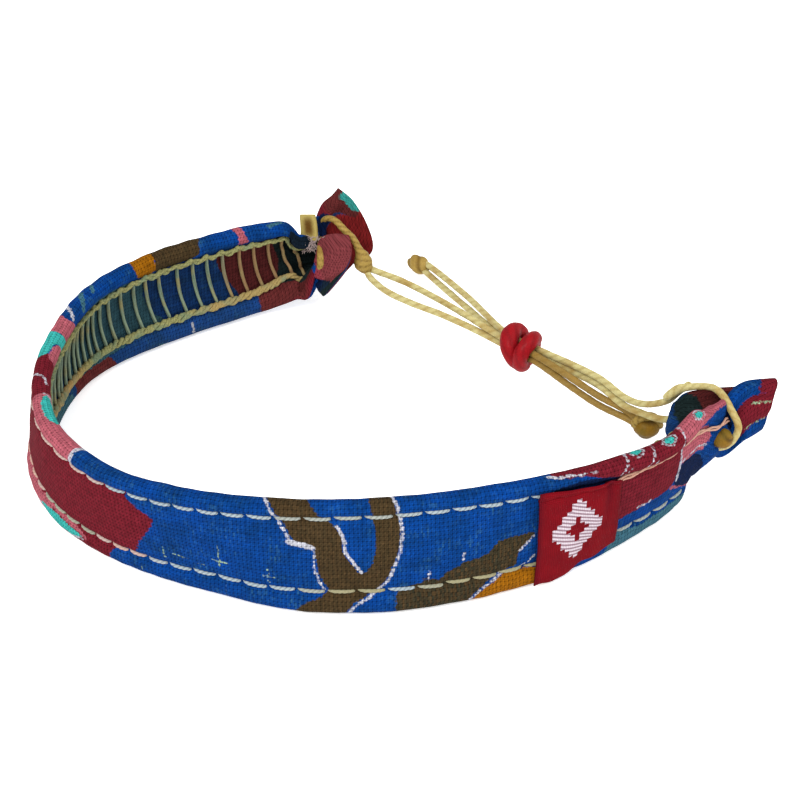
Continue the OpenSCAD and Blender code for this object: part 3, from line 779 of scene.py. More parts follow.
class Shader:
    """A material's node tree, with one short call for each kind of node used here."""

    def __init__(self, name, rough, shine=0.3, coat=0.0):
        self.material = bpy.data.materials.new(name)
        self.material.use_nodes = True
        self.nodes, self.links = self.material.node_tree.nodes, self.material.node_tree.links
        self.surface = self.nodes["Principled BSDF"]
        self.surface.inputs["Roughness"].default_value = rough
        self.surface.inputs["Coat Weight"].default_value = coat
        self.surface.inputs["Specular IOR Level"].default_value = shine

    def put(self, socket, value):
        """Links a socket's source, or sets its constant value."""
        if isinstance(value, bpy.types.NodeSocket):
            self.links.new(value, socket)
        elif value is not None:
            socket.default_value = value

    def attribute(self, name, output="Fac"):
        """What a piece keeps under this name at each of its points."""
        node = self.nodes.new("ShaderNodeAttribute")
        node.attribute_name = name
        return node.outputs[output]

    def cloth_map(self):
        """The two distances of the piece's map named cloth, in mm."""
        node = self.nodes.new("ShaderNodeUVMap")
        node.uv_map = "cloth"
        return self.split(node.outputs[0])[:2]

    def math(self, kind, a, b=None):
        """One step of arithmetic, such as ADD or SINE."""
        node = self.nodes.new("ShaderNodeMath")
        node.operation = kind
        for socket, value in zip(node.inputs, (a, b)):
            self.put(socket, value)
        return node.outputs[0]

    def times(self, first, *others):
        """The product of all the values."""
        for value in others:
            first = self.math("MULTIPLY", first, value)
        return first

    def ripple(self, value, long):
        """|sin(pi value / long)|, which is 0 at each multiple of long and 1 between two."""
        return self.math("ABSOLUTE", self.math("SINE", self.times(value, math.pi / long)))

    def split(self, vector):
        """The three parts of a vector."""
        node = self.nodes.new("ShaderNodeSeparateXYZ")
        self.links.new(vector, node.inputs[0])
        return node.outputs

    def join(self, x, y, z=0.0):
        """A vector from its three parts."""
        node = self.nodes.new("ShaderNodeCombineXYZ")
        for socket, value in zip(node.inputs, (x, y, z)):
            self.put(socket, value)
        return node.outputs[0]

    def noise(self, vector, scale, detail=2.0):
        """Soft cloudy noise from 0 to 1."""
        node = self.nodes.new("ShaderNodeTexNoise")
        self.put(node.inputs["Vector"], vector)
        node.inputs["Scale"].default_value = scale
        node.inputs["Detail"].default_value = detail
        return node.outputs["Fac"]

    def ramp(self, value, low, high, to_low=0.0, to_high=1.0):
        """A value stretched from low and high to to_low and to_high, and held between them."""
        node = self.nodes.new("ShaderNodeMapRange")
        for socket, number in zip(node.inputs, (value, low, high, to_low, to_high)):
            self.put(socket, number)
        return node.outputs[0]

    def mix(self, amount, a, b, kind="MIX"):
        """Colour a with b laid over it by an amount from 0 to 1."""
        node = self.nodes.new("ShaderNodeMix")
        node.data_type = "RGBA"
        node.blend_type = kind
        self.put(node.inputs[0], amount)
        self.put(node.inputs[6], a)
        self.put(node.inputs[7], b)
        return node.outputs[2]

    def dim(self, colour, shade):
        """A colour with its three parts multiplied by one shade."""
        return self.mix(1.0, colour, self.join(shade, shade, shade), "MULTIPLY")

    def finish(self, colour, height=None, depth=0.0001):
        """The material, with its colour and with bumps that are depth metres deep."""
        self.put(self.surface.inputs["Base Color"], colour)
        if height is not None:
            bump = self.nodes.new("ShaderNodeBump")
            bump.inputs["Distance"].default_value = depth
            self.put(bump.inputs["Height"], height)
            self.links.new(bump.outputs[0], self.surface.inputs["Normal"])
        return self.material


def woven(shader, across, along, wide, high):
    """Height of a plain weave from 0 to 1, and 1 or 0 for the yarn on top. In each cell sin(pi x)
    and sin(pi y) rise from its edges; the yarn on top is narrow across itself and flat along
    itself, and the two directions take turns like the fields of a chessboard."""
    x, y = shader.math("DIVIDE", across, wide), shader.math("DIVIDE", along, high)
    sx, sy = shader.ripple(x, 1.0), shader.ripple(y, 1.0)
    turn = shader.math("ADD", shader.math("FLOOR", x), shader.math("FLOOR", y))
    odd = shader.math("ROUND", shader.times(shader.math("FRACT", shader.times(turn, 0.5)), 2.0))
    even = shader.math("SUBTRACT", 1.0, odd)
    one = shader.times(shader.math("POWER", sx, 0.9), shader.math("POWER", sy, 0.35))
    two = shader.times(shader.math("POWER", sy, 0.9), shader.math("POWER", sx, 0.35))
    return shader.math("ADD", shader.times(one, odd), shader.times(two, even)), odd


# %% Printed cotton
INK_COLOURS = {
    "red": rgb(92, 21, 31), "pink": rgb(146, 74, 84), "teal": rgb(48, 146, 140),
    "brown": rgb(52, 42, 26), "olive": rgb(42, 41, 30), "ochre": rgb(124, 76, 8),
    # The navy colour is print and, in two shapes, painted shadow; the near-black colour on the next line is
    # painted shadow.
    "navy": rgb(8, 22, 52), "scarlet": rgb(136, 14, 28), "slate": rgb(48, 84, 98),
    "dark": rgb(14, 24, 34), "white": rgb(156, 156, 164), "thread": rgb(128, 150, 120)}
# How far apart two yarns lie along the band and across it, in mm.
WEAVE_A, WEAVE_G = 0.2125, 0.25


def cotton_material():
    """Blue cotton with the print laid over it colour by colour, cut where each field passes zero.
    Each yarn has its own tone. Shade is painted into the weave, so its gaps, the yarn that lies
    lower and a hole at every second crossing each way are darker; painted shade also greys what is
    turned in behind the hems and darkens the channel."""
    shader = Shader("printed_cotton", 0.95, shine=0.03)
    a, g = shader.cloth_map()
    place = shader.join(a, g)
    weave, on_top = woven(shader, a, g, WEAVE_A, WEAVE_G)
    yarn_a, yarn_g = shader.math("SNAP", a, WEAVE_A), shader.math("SNAP", g, WEAVE_G)
    uneven_a = shader.noise(shader.join(shader.times(a, 0.2), yarn_g), 4.2)
    uneven_g = shader.noise(shader.join(yarn_a, shader.times(g, 0.2)), 4.2)
    jitter = shader.math("SUBTRACT", shader.noise(shader.join(yarn_a, yarn_g), 2.4), 0.5)
    jitter = shader.times(jitter, 0.7)
    cloudy = shader.noise(place, 0.35, 3.0)
    colour = shader.mix(shader.ramp(cloudy, 0.35, 0.65), rgb(5, 45, 96), rgb(5, 52, 118))
    cell = shader.join(yarn_a, shader.math("SNAP", g, 2 * WEAVE_G), 7.0)
    speck = shader.noise(cell, 4.7, 0.0)
    patch = shader.ramp(shader.noise(place, 0.5, 1.0), 0.45, 0.75)
    specks = shader.times(shader.ramp(speck, 0.5, 0.72, 0.0, 0.38), patch)
    colour = shader.mix(specks, colour, rgb(50, 90, 92))
    for group, names in enumerate(INK_GROUPS):
        fields = shader.split(shader.attribute(f"ink_{group}", "Vector"))
        for field, name in zip(fields, names):
            rough = 0.8 if name in ("white", "thread") else 1.0
            edge = shader.math("ADD", field, shader.times(jitter, rough))
            cover = shader.ramp(edge, 0.05, -0.05)
            ink_colour = INK_COLOURS[name]
            if name in ("brown", "olive"):
                ink_colour = shader.mix(shader.ramp(speck, 0.3, 0.7), ink_colour, rgb(60, 46, 28))
            if name == "pink":
                ink_colour = shader.mix(shader.ramp(a, 10, 7), ink_colour, rgb(126, 48, 58))
            colour = shader.mix(cover, colour, ink_colour)
    # Painted shade: on the inside, past each hem, the colour is washed up to 35% towards dark grey-green.
    shade_past_upper_hem = shader.ramp(g, 9.5, 10.5, 0.0, 0.35)
    shade_past_lower_hem = shader.ramp(g, -7.0, -8.0, 0.0, 0.35)
    colour = shader.mix(shader.math("MAXIMUM", shade_past_upper_hem, shade_past_lower_hem), colour, rgb(32, 44, 30))
    # Painted shade in the weave: darker at a hole on every second crossing, in the gaps between yarns and on
    # the yarn that lies lower. The yarns' own tone and the specks are real.
    hole_a = shader.math("SUBTRACT", 1.0, shader.ripple(a, 2 * WEAVE_A))
    hole_g = shader.math("SUBTRACT", 1.1, shader.ripple(g, 2 * WEAVE_G))
    shade = shader.times(
        shader.ramp(shader.math("ADD", uneven_a, uneven_g), 0.65, 1.35, 0.66, 1.3),
        shader.ramp(weave, 0.1, 0.75, 0.72, 1.08),
        shader.ramp(on_top, 0.0, 1.0, 0.93, 1.07),
        shader.math("SUBTRACT", 1.06, shader.times(hole_a, hole_g, 0.8)),
        shader.ramp(speck, 0.25, 0.75, 0.93, 1.07),
        # Painted shade in the channel between the hems, down to 0.6.
        shader.ramp(shader.attribute("inner"), 0.0, 1.0, 1.0, 0.6))
    return shader.finish(shader.dim(colour, shade), weave, 0.00003)


cotton = cotton_material()
print("cotton:", len(cotton.node_tree.nodes), "nodes")


# %% Threads and cords
def thread_material(name, light, dark, rough, coat=0.0, blotch=None, stains=()):
    """Cord or thread: light on the yarns, with shade painted into the grooves between them, and fine
    fibres along it. Each stain is (attribute, from, to, colour) and grows between the two values of the
    attribute."""
    shader = Shader(name, rough, shine=0.08, coat=coat)
    place = shader.nodes.new("ShaderNodeTexCoord").outputs["Object"]
    # Painted shade: the yarns' colour turns to the second colour towards the grooves between yarns.
    colour = shader.mix(shader.ramp(shader.attribute("painted_shade"), 0.25, 1.0), light, dark)
    for value, start, stop, stained in stains:
        amount = shader.ramp(shader.attribute(value), start, stop, 0.0, 0.85)
        colour = shader.mix(amount, colour, stained)
    if blotch:
        amount = shader.ramp(shader.noise(place, 420), 0.48, 0.68, 0.0, 0.75)
        colour = shader.mix(amount, colour, blotch)
    fibres = shader.noise(place, 5200)
    colour = shader.dim(colour, shader.ramp(fibres, 0.3, 0.7, 0.86, 1.1))
    return shader.finish(colour, fibres, 0.00004)


# yarn colour, painted shade in the grooves, roughness, coat and blotches
PALE = rgb(172, 162, 112), rgb(146, 130, 78), 0.55, 0.02, rgb(140, 110, 52)
TAN = rgb(140, 116, 58), rgb(92, 70, 28), 0.55, 0.02, rgb(112, 84, 28)
GOLDEN = rgb(110, 80, 20), rgb(64, 46, 12), 0.55, 0.02, rgb(92, 76, 22)
wax = thread_material("waxed_cord", *PALE)
long_wax = thread_material("waxed_cord_stained", *PALE, stains=[("along", 20.0, 25.0, rgb(112, 82, 24))])
tan_wax = thread_material("tan_waxed_cord", *TAN)
knot_wax = thread_material("golden_waxed_cord", *GOLDEN)
stub_wax = thread_material("stub_waxed_cord", rgb(146, 130, 72), rgb(74, 48, 6), 0.6)
fibre = thread_material("frayed_cotton", rgb(158, 140, 136), rgb(120, 110, 104), 0.8)
stitch_thread = thread_material("stitch_thread", rgb(140, 150, 154), rgb(82, 94, 102), 0.8,
    stains=[("tint", 0.0, 1.0, rgb(176, 128, 104)), ("tint", 0.0, -1.0, rgb(128, 120, 84))])
seam_thread = thread_material("seam_thread", rgb(126, 124, 80), rgb(68, 74, 48), 0.85, 0.0, rgb(88, 108, 88),
    stains=[("tint", 0.0, 1.0, rgb(150, 112, 66))])
rung_thread = thread_material("rung_thread", rgb(104, 118, 98), rgb(64, 78, 66), 0.85, 0.0, rgb(120, 112, 74),
    stains=[("tint", 0.0, 1.0, rgb(120, 88, 56))])
red_cord = thread_material("red_cord", rgb(128, 8, 17), rgb(104, 6, 14), 0.6, 0.02)
for name, piece in strands.items():
    piece.data.materials.append(long_wax if name.startswith("left") else wax)
print(len(bpy.data.materials), "materials so far")

# %% [markdown]
# ## The cloth tube
# The rings are joined into one skin. Each end is cut off straight, so there the outer and the
# inner side are joined by one strip of faces, which is the cut edge of the cloth. The weave
# follows a map in mm, so the map is measured along the finished surface where the ends flare,
# and the distances to the print's edges ride on the points.

# %% Cloth tube
# Between these places along the band, in mm, the rings' own distances are true.
EVEN_FROM, EVEN_TO = 10.0, 141.0
# Where shade is painted into the channel: its middle on the girth, half its width and how softly it ends, in
# mm.
CHANNEL_G, CHANNEL_HALF, CHANNEL_SOFT = 14.2, 3.9, 0.5


def cut_ends():
    """Quads and triangles that close both ends. Each place of the outer side is joined straight
    across to the one of the inner side behind it, and a triangle fills the tip of each hem."""
    fold = SIDES // 4
    k = np.arange(1, SIDES // 2 - 1)
    strips, tips = [], []
    for first, turned in ((0, True), ((RINGS - 1) * SIDES, False)):
        outer, inner = first + fold + k, first + (fold - k) % SIDES
        outer_next, inner_next = first + fold + k + 1, first + (fold - k - 1) % SIDES
        strip = np.stack([outer, outer_next, inner_next, inner], -1)
        strips.append(strip[:, ::-1] if turned else strip)
        for middle in (first + fold, first + 3 * fold):
            tip = [middle - 1, middle, middle + 1]
            tips.append(tip[::-1] if turned else tip)
    return np.vstack(strips), np.array(tips)


points = cloth.reshape(-1, 3)
quads = tube_faces(RINGS, SIDES)
round_steps = np.linalg.norm(np.roll(cloth, -1, axis=1) - cloth, axis=2)
round_far = np.hstack([np.zeros((RINGS, 1)), np.cumsum(round_steps, 1)])
round_far = round_far - round_far[:, SIDES // 2, None]
along_steps = np.linalg.norm(np.diff(cloth, axis=0), axis=2)
along_far = np.vstack([np.zeros((1, SIDES)), np.cumsum(along_steps, 0)])
first_even, last_even = np.searchsorted(ring_a, [EVEN_FROM, EVEN_TO])
true_a = A.copy()
true_a[:first_even] = ring_a[first_even] + along_far[:first_even] - along_far[first_even]
true_a[last_even:] = ring_a[last_even] + along_far[last_even:] - along_far[last_even]
corner_a = true_a.ravel()[quads]
last_side = (quads % SIDES == 0) & ((quads % SIDES).max(1, keepdims=True) == SIDES - 1)
corner_g = round_far[quads // SIDES, np.where(last_side, SIDES, quads % SIDES)]
cut_edges, tips = cut_ends()
cut_a = true_a.ravel()[cut_edges] + 0.5 * np.array([0, 0, 1, 1])
cut_g = round_far[:, :SIDES].ravel()[cut_edges]
quads = np.vstack([quads, cut_edges])
cloth_map = np.stack([np.vstack([corner_a, cut_a]), np.vstack([corner_g, cut_g])], -1)
# Painted shade: 1 inside the channel between the hems, where the cotton shader darkens the colour to 0.6.
channel = np.clip((CHANNEL_HALF - np.abs(G % GIRTH - CHANNEL_G)) / CHANNEL_SOFT, 0, 1)
band = make_piece("cloth_band", points, quads, tips, {"cloth": cloth_map}, {"inner": channel.ravel()})
for group, names in enumerate(INK_GROUPS):
    layer = band.data.attributes.new(f"ink_{group}", "FLOAT_VECTOR", "POINT")
    three = np.stack([ink[name].ravel() for name in names], -1)
    layer.data.foreach_set("vector", three.astype(np.float32).ravel())
band.data.materials.append(cotton)
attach(band, "root")
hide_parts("band")
print("cloth tube:", len(points), "points")

# %% [markdown]
# ## Stitches
# The hems are sewn down with a thick two-ply thread. On the outer face each stitch is a short
# dash that comes out of one hole, lies on the cloth with a slight sag and goes into the next.
# Each dash could be an object of its own, but one mesh for a whole row is far quicker, so all
# the short cords of a row are worked out as one array.


# %% Many short cords
# A direction that no short line here runs along: straight up, tipped a little.
TIPPED_UP = unit(np.array([0.13, 0.21, 1.0]))


def many_cords(name, lines, radius, sides=8, lay=0.9, relief=0.12, taper=(0.25, 0.25), tint=0.0):
    """One mesh of many short cords of two yarns. lines is (count, steps, 3) in mm. The radius is
    r * (1 + relief * (|cos(v - 2 pi a / lay)| - 0.6)) at angle v and distance a, and each cord
    thins to nothing over the taper at its start and at its end."""
    lines = np.asarray(lines, float)
    count, steps, _ = lines.shape
    ahead = unit(np.gradient(lines, axis=1))
    side = unit(np.cross(ahead, TIPPED_UP))
    over = np.cross(side, ahead)
    step_long = np.linalg.norm(np.diff(lines, axis=1), axis=2)
    a = np.concatenate([np.zeros((count, 1)), np.cumsum(step_long, 1)], 1)
    r = radius * rounded(np.minimum(a / taper[0], (a[:, -1:] - a) / taper[1]), 0.02)
    v = np.linspace(0, 2 * math.pi, sides, endpoint=False)
    ridge = np.abs(np.cos(v - 2 * math.pi * a[..., None] / lay))
    reach = r[..., None] * (1 + relief * (ridge - 0.6))
    outwards = side[:, :, None] * np.cos(v)[:, None] + over[:, :, None] * np.sin(v)[:, None]
    rings = lines[:, :, None] + reach[..., None] * outwards
    first = (np.arange(count) * steps * sides)[:, None, None]
    fan = np.array([[0, k, k + 1] for k in range(1, sides - 1)])
    quads = (tube_faces(steps, sides) + first).reshape(-1, 4)
    start_caps = (fan[:, ::-1] + first).reshape(-1, 3)
    stop_caps = (fan + first + (steps - 1) * sides).reshape(-1, 3)
    tint = np.broadcast_to(tint, a.shape)
    # Painted shade in the grooves between yarns, kept for the shader.
    values = {"painted_shade": (1 - ridge).ravel(), "tint": np.repeat(tint.ravel(), sides)}
    tris = np.vstack([start_caps, stop_caps])
    return make_piece(name, rings.reshape(-1, 3), quads, tris, values=values)


# %% Stitches
STITCH_TINTS = {
    # row: places along the band, and the thread's tint there, from -1 for olive to 1 for rosy
    UPPER_ROW: ([60, 74, 77, 92, 94, 106, 107.5, 128, 131], [0.6, 0.6, 0, 0, -0.4, -0.4, 0, 0, 1]),
    LOWER_ROW: ([40, 62, 64, 72, 74, 78, 81, 96, 98, 104, 106, 110, 124, 130],
        [0.8, 0.8, -0.7, -0.7, 0.7, 0.7, 0, 0, -1, -1, 0, -1, -1, -0.4])}
# The fold over the label hides the upper row between the first two places, and past the third
# the thread lies loose.
HIDDEN_FROM, HIDDEN_TO, LOOSE_FROM = 120.9, 129.4, 131.6


def stitch_row(name, row, start, stop):
    """Dashes from hole to hole at g = row: at t from 0 to 1 in a dash the thread stands at
    0.19 sin(pi t)^0.5 - 0.12 mm off the cloth, a little slanted, and takes tints on the way."""
    holes = HOLES[row]
    holes = holes[(holes > start) & (holes < stop)]
    begin, long = holes[:-1], np.diff(holes)
    if row > 0:
        used = (begin < HIDDEN_FROM) | ((begin > HIDDEN_TO) & (begin < LOOSE_FROM))
        begin, long = begin[used], long[used]
    tint = np.interp(begin, *STITCH_TINTS[row])
    t = np.linspace(0, 1, 29)
    draw = np.random.default_rng(int(abs(row) * 10))
    wander = draw.uniform(-0.08, 0.08, (len(begin), 1))
    slant = 0.12 + draw.uniform(-0.08, 0.08, (len(begin), 1))
    a = begin[:, None] + 0.1 + (long[:, None] - 0.2) * t
    g = row_at(row, a) + wander + 0.06 * np.sin(math.pi * t) + slant * (0.5 - t)
    lift = 0.19 * np.sin(math.pi * t) ** 0.5 - 0.12 + 0 * a
    piece = many_cords(
        name, on_band(a, g, lift), 0.2, sides=12, lay=1.0, relief=0.24, taper=(0.9, 0.35),
        tint=tint[:, None])
    piece.data.materials.append(stitch_thread)
    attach(piece, "root")
    print(name, "has", len(begin), "stitches")


def loose_thread():
    """The upper row's thread past its last dash: two yarns that cross each other, each
    0.24 sin(1.16 a) mm to one side of the row and 0.06 cos(1.16 a) mm above the other or below."""
    a = np.linspace(130.4, 148.2, 160)
    yarns = []
    for side in (-1, 1):
        aside = side * 0.24 * np.sin(a * 1.16)
        g = row_at(UPPER_ROW, a) + aside + 0.12 * wave_noise(a, 0 * a, 61 + side)
        yarns.append(on_band(a, g, 0.22 + 0.06 * side * np.cos(a * 1.16)))
    return many_cords("hem_thread", yarns, 0.12, tint=1.0)


stitch_row("upper_stitches", UPPER_ROW, 12.0, 147.0)
hem_thread = loose_thread()
hem_thread.data.materials.append(stitch_thread)
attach(hem_thread, "root")
stitch_row("lower_stitches", LOWER_ROW, 12.0, 144.5)

# %% [markdown]
# ## The inside seam
# Inside, a thick looper thread joins the two hems: it runs to and fro like the rungs of a rope
# ladder, and along each hem its loops hold each other in a chain that looks like a thin rope.
# Real loops would be lost at this size, so a few yarns that swing and turn stand in for them.


# %% Inside seam
# Where the two chains run on the girth, in mm.
RUNG_HIGH, RUNG_LOW = 10.3, 18.1
# Where the rungs and the chains begin and end along the band, in mm.
RUNGS_FROM, RUNGS_TO = 9.4, 140
CHAINS_FROM, CHAINS_TO = 8.8, 141
# Places along the band, and how far apart the rungs stand there.
RUNG_STEPS = ([28, 34, 40, 60, 70], [2.1, 1.8, 1.25, 1.25, 2.1])
# Places along the band, and how brown the rungs and the lower chain are there.
RUNG_TINTS = ([19, 21], [1.0, 0.0])
CHAIN_TINTS = ([8, 22, 26, 40, 44, 62], [0.5, 0.5, 0, 0, 0.8, 0.8])
# name, row, how many yarns, a yarn's radius
CHAINS = [("upper_seam_chain", RUNG_HIGH, 3, 0.18), ("lower_seam_chain", RUNG_LOW, 4, 0.21)]


def inside_seam():
    """Slanted rungs between the two chain rows and the chains themselves. The upper chain is
    three yarns that swing in loops from rung to rung, and the lower one is four yarns that turn
    round each other like a rope's."""
    places = [RUNGS_FROM]
    while places[-1] < RUNGS_TO:
        places.append(places[-1] + np.interp(places[-1], *RUNG_STEPS))
    places = np.array(places)
    draw = np.random.default_rng(5)
    shake = draw.uniform(-0.3, 0.3, (len(places), 1))
    t = np.linspace(0, 1, 17)
    a = places[:, None] - 0.3 + 1.4 * (0.5 - t) + 0.3 * np.sin(math.pi * t) + shake * (1 - 0.6 * t)
    g = RUNG_HIGH - 0.2 + (RUNG_LOW - RUNG_HIGH) * t + 0 * a
    lift = 0.16 + 0.1 * np.sin(math.pi * t) + 0 * a
    tint = np.interp(a, *RUNG_TINTS)
    pieces = [many_cords("seam_rungs", on_band(a, g, lift), 0.21, tint=tint)]
    far = np.arange(CHAINS_FROM, CHAINS_TO, 0.12)
    loop = np.interp(far, places + 0.4, np.arange(len(places)))
    swag = np.abs(np.sin(math.pi * loop))
    for name, row, yarns, radius in CHAINS:
        lines = []
        for yarn in range(yarns):
            phase = 2 * math.pi * (loop + yarn / yarns) + 1.2 * wave_noise(far, 0 * far, 40 + yarn)
            wobble = 0.16 * wave_noise(far, 3 + 0 * far, 50 + yarn, slow=0.5, fast=3.0)
            if row == RUNG_HIGH:
                sideways = 0.8 * (0.55 - swag) * (1 if yarn else -0.5) + 0.16 * np.cos(phase)
                rise = 0.24 + 0.12 * np.sin(phase)
            else:
                sideways = 0.36 * np.cos(phase)
                rise = 0.30 + 0.18 * np.sin(phase)
            lines.append(on_band(far, row - sideways + wobble, rise + 0.4 * np.abs(wobble)))
        tint = np.interp(far, *CHAIN_TINTS) * (row == RUNG_LOW)
        pieces.append(many_cords(name, lines, radius, tint=tint))
    print("inside seam has", len(places), "rungs")
    return pieces


seam = inside_seam()
for piece, thread in zip(seam, (rung_thread, seam_thread, seam_thread)):
    piece.data.materials.append(thread)
    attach(piece, "root")

# %% [markdown]
# ## The woven label
# A label is a short piece of narrow ribbon, folded and sewn on flat. Its lower edge isn't held
# and so it waves a little. It is a thin closed sheet laid over the cloth, so it takes the
# band's own bends. The device on it is woven in white, here a plain stepped lozenge.


# %% Label
LABEL_A, LABEL_G = (121.4, 130.6), (-6.2, 6.0)


def beside_band(a, g, lift):
    """Points lifted off the band which go straight on below g = -3, clear of the hem's curve."""
    last, before = -3.0, -1.2
    ahead = (on_band(a, last, lift) - on_band(a, before, lift)) / (before - last)
    return on_band(a, np.maximum(g, last), lift) + ahead * np.maximum(0, last - g)[..., None]


def label_piece():
    """A closed thin sheet over the band: at (p, q) from 0 to 1 it lies at a and g between the
    label's edges, lifted so that it clears the cloth, with a wave of the lower edge. Its edges
    are rounded over 0.3 mm, and a crease runs down it near the right."""
    m, n = 50, 60
    wide, tall = LABEL_A[1] - LABEL_A[0], LABEL_G[1] - LABEL_G[0]
    p, q = np.meshgrid(np.linspace(0, 1, m), np.linspace(0, 1, n), indexing="ij")
    a = LABEL_A[0] + wide * p + 0.7 * p * (1 - q)
    wave = (0.16 * np.sin(2 * math.pi * p * 2.2 + 0.5) + 1.9 * p**1.5) * (1 - q) ** 2 - 0.45 * p * q
    g = LABEL_G[0] + tall * q + wave
    edge = np.minimum(np.minimum(p, 1 - p) * wide, np.minimum(q, 1 - q) * tall)
    lift = 0.5 + 0.10 * wave_noise(a, g, 21, slow=0.3, fast=0.9) + 0.12 * (1 - q) ** 2 * np.sin(5 * p + 1)
    crease = np.exp(-(((p - 0.86 + 0.1 * (1 - q)) / 0.05) ** 2)) * np.clip(q * 1.6 - 0.5, 0, 1)
    lift = lift - 0.22 * crease + 0.15 * np.exp(-((p / 0.05) ** 2))
    top = beside_band(a, g, lift + 0.16 * np.sqrt(np.clip(edge / 0.3, 0, 1)))
    bottom = beside_band(a, g, lift - 0.14)
    points = np.vstack([top.reshape(-1, 3), bottom.reshape(-1, 3)])
    i, j = np.meshgrid(np.arange(m - 1), np.arange(n - 1), indexing="ij")
    base = (i * n + j).ravel()
    upper = np.stack([base, base + n, base + n + 1, base + 1], -1)
    lower = upper[:, ::-1] + m * n
    rim = np.concatenate([
        np.arange(n), np.arange(2 * n - 1, m * n, n),
        np.arange(m * n - 2, (m - 1) * n - 1, -1), np.arange((m - 2) * n, 0, -n)])
    after = np.roll(rim, -1)
    walls = np.stack([rim, after, after + m * n, rim + m * n], -1)
    quads = np.vstack([upper, lower, walls])
    flat = np.tile(np.stack([(p * wide).ravel(), (q * tall).ravel()], -1), (2, 1))
    # Painted shade, kept for the shader: darkest in the crease, along the folded left edge and a little along
    # the right edge.
    shade = crease + 0.9 * np.exp(-((p / 0.045) ** 2)) + 0.5 * np.exp(-(((p - 1) / 0.08) ** 2))
    painted_shade = np.tile(np.clip(shade, 0, 1).ravel(), 2)
    print("label is", round(wide, 1), "by", round(tall, 1), "mm")
    return make_piece("label_patch", points, quads, None, {"cloth": flat[quads]}, {"painted_shade": painted_shade})


# %% Label's ribbon
def label_material():
    """Satin-woven ribbon: fine ribs, and the device where its stepped field is under one. The
    field is |a - 4| / 2.9 + |g - 6| / 4.4 with a and g in steps of 0.5 mm."""
    shader = Shader("woven_label", 0.8, shine=0.03)
    a, g = shader.cloth_map()
    rib, column = shader.ripple(g, 0.16), shader.ripple(a, 0.2)
    x = shader.math("ABSOLUTE", shader.math("SUBTRACT", shader.math("SNAP", a, 0.5), 4.0))
    y = shader.math("ABSOLUTE", shader.math("SUBTRACT", shader.math("SNAP", g, 0.5), 6.0))
    field = shader.math("ADD", shader.math("DIVIDE", x, 2.9), shader.math("DIVIDE", y, 4.4))
    outer = shader.math("LESS_THAN", field, 1.0)
    inner = shader.math("LESS_THAN", field, 0.35)
    device = shader.math("SUBTRACT", outer, inner)
    aslant = shader.math("ADD", g, shader.times(a, 0.45))
    twill = shader.math("SINE", shader.times(aslant, 2 * math.pi / 0.5))
    pale = shader.mix(shader.ramp(twill, -0.6, 0.6), rgb(132, 108, 118), rgb(196, 184, 192))
    cloudy = shader.ramp(shader.noise(shader.join(a, g), 0.5), 0.3, 0.7)
    red = shader.mix(cloudy, rgb(98, 8, 18), rgb(112, 9, 19))
    # Painted shade: the crease and the folded edges are mixed up to 60% towards dark red.
    crease_and_edge_shade = shader.ramp(shader.attribute("painted_shade"), 0.0, 1.0, 0.0, 0.6)
    colour = shader.mix(crease_and_edge_shade, shader.mix(device, red, pale), rgb(64, 10, 22))
    # Painted shade between the ribs: the colour is dimmed down to 0.76 there.
    colour = shader.dim(colour, shader.ramp(shader.times(rib, column), 0.0, 0.7, 0.76, 1.06))
    return shader.finish(colour, shader.math("ADD", rib, column), 0.00004)


label = label_piece()
label.data.materials.append(label_material())
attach(label, "root")
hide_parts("label")

# %% [markdown]
# ## The ties
# The neck of each end is bound with waxed cord. The left one is wound round the bunched cloth,
# its stub is cut off square above it, and its other end is knotted where the two sliding cords
# leave. The right one is a loose loop with one thick knot, and a short piece takes the lower
# sliding cord into the cloth. A curve with a round bevel would be quicker, but it shows no
# yarns, so these are swept cords like the strands, with a radius of its own for each place.

# %% Left tie
LEFT_AXIS = np.array([1, 0.3, 0.2])


def fixed(piece, node, material):
    """Gives a piece its finish and its place on the body, and hides the part of the model that it stands for.
    """
    piece.data.materials.append(material)
    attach(piece, "root")
    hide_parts(node)


def seen_rows(rows):
    """Rows [right, up, near, radius] along the camera's directions as rows [x, y, z, radius]."""
    rows = np.array(rows, float)
    return np.hstack([to_world(rows[:, :3]), rows[:, 3:]])


LEFT_RUN = [
    # right, up, near, radius
    [-9.9, 21.6, -14.0, 0.34], [-9.1, 22.4, -12.8, 0.36], [-8.0, 22.1, -12.0, 0.40],
    [-6.85, 20.9, -11.6, 0.42], [-5.8, 19.9, -11.8, 0.42], [-5.1, 18.6, -12.4, 0.50],
    [-4.7, 17.7, -12.8, 0.95], [-4.5, 16.9, -13.1, 1.15], [-4.0, 16.2, -13.4, 0.8],
    [-3.6, 15.8, -13.6, 0.4]]
# Two turns round the neck: t goes from 0 to 4 pi, and the cord moves on by 0.45 mm.
left_wrap = [
    [-10.0 + 0.45 * t / 12.6, 17.65 + 2.35 * math.cos(t), -14.35 - 2.95 * math.sin(t), 0.38]
    for t in np.radians(np.arange(0, 721, 20))]
left_tie, line = cord_mesh("left_tie_cord", seen_rows(left_wrap + LEFT_RUN), unit(LEFT_AXIS), lay=2.4)
fixed(left_tie, "left_tie", tan_wax)
print("left tie's cord is", round(lengths_along(line)[-1], 1), "mm long")


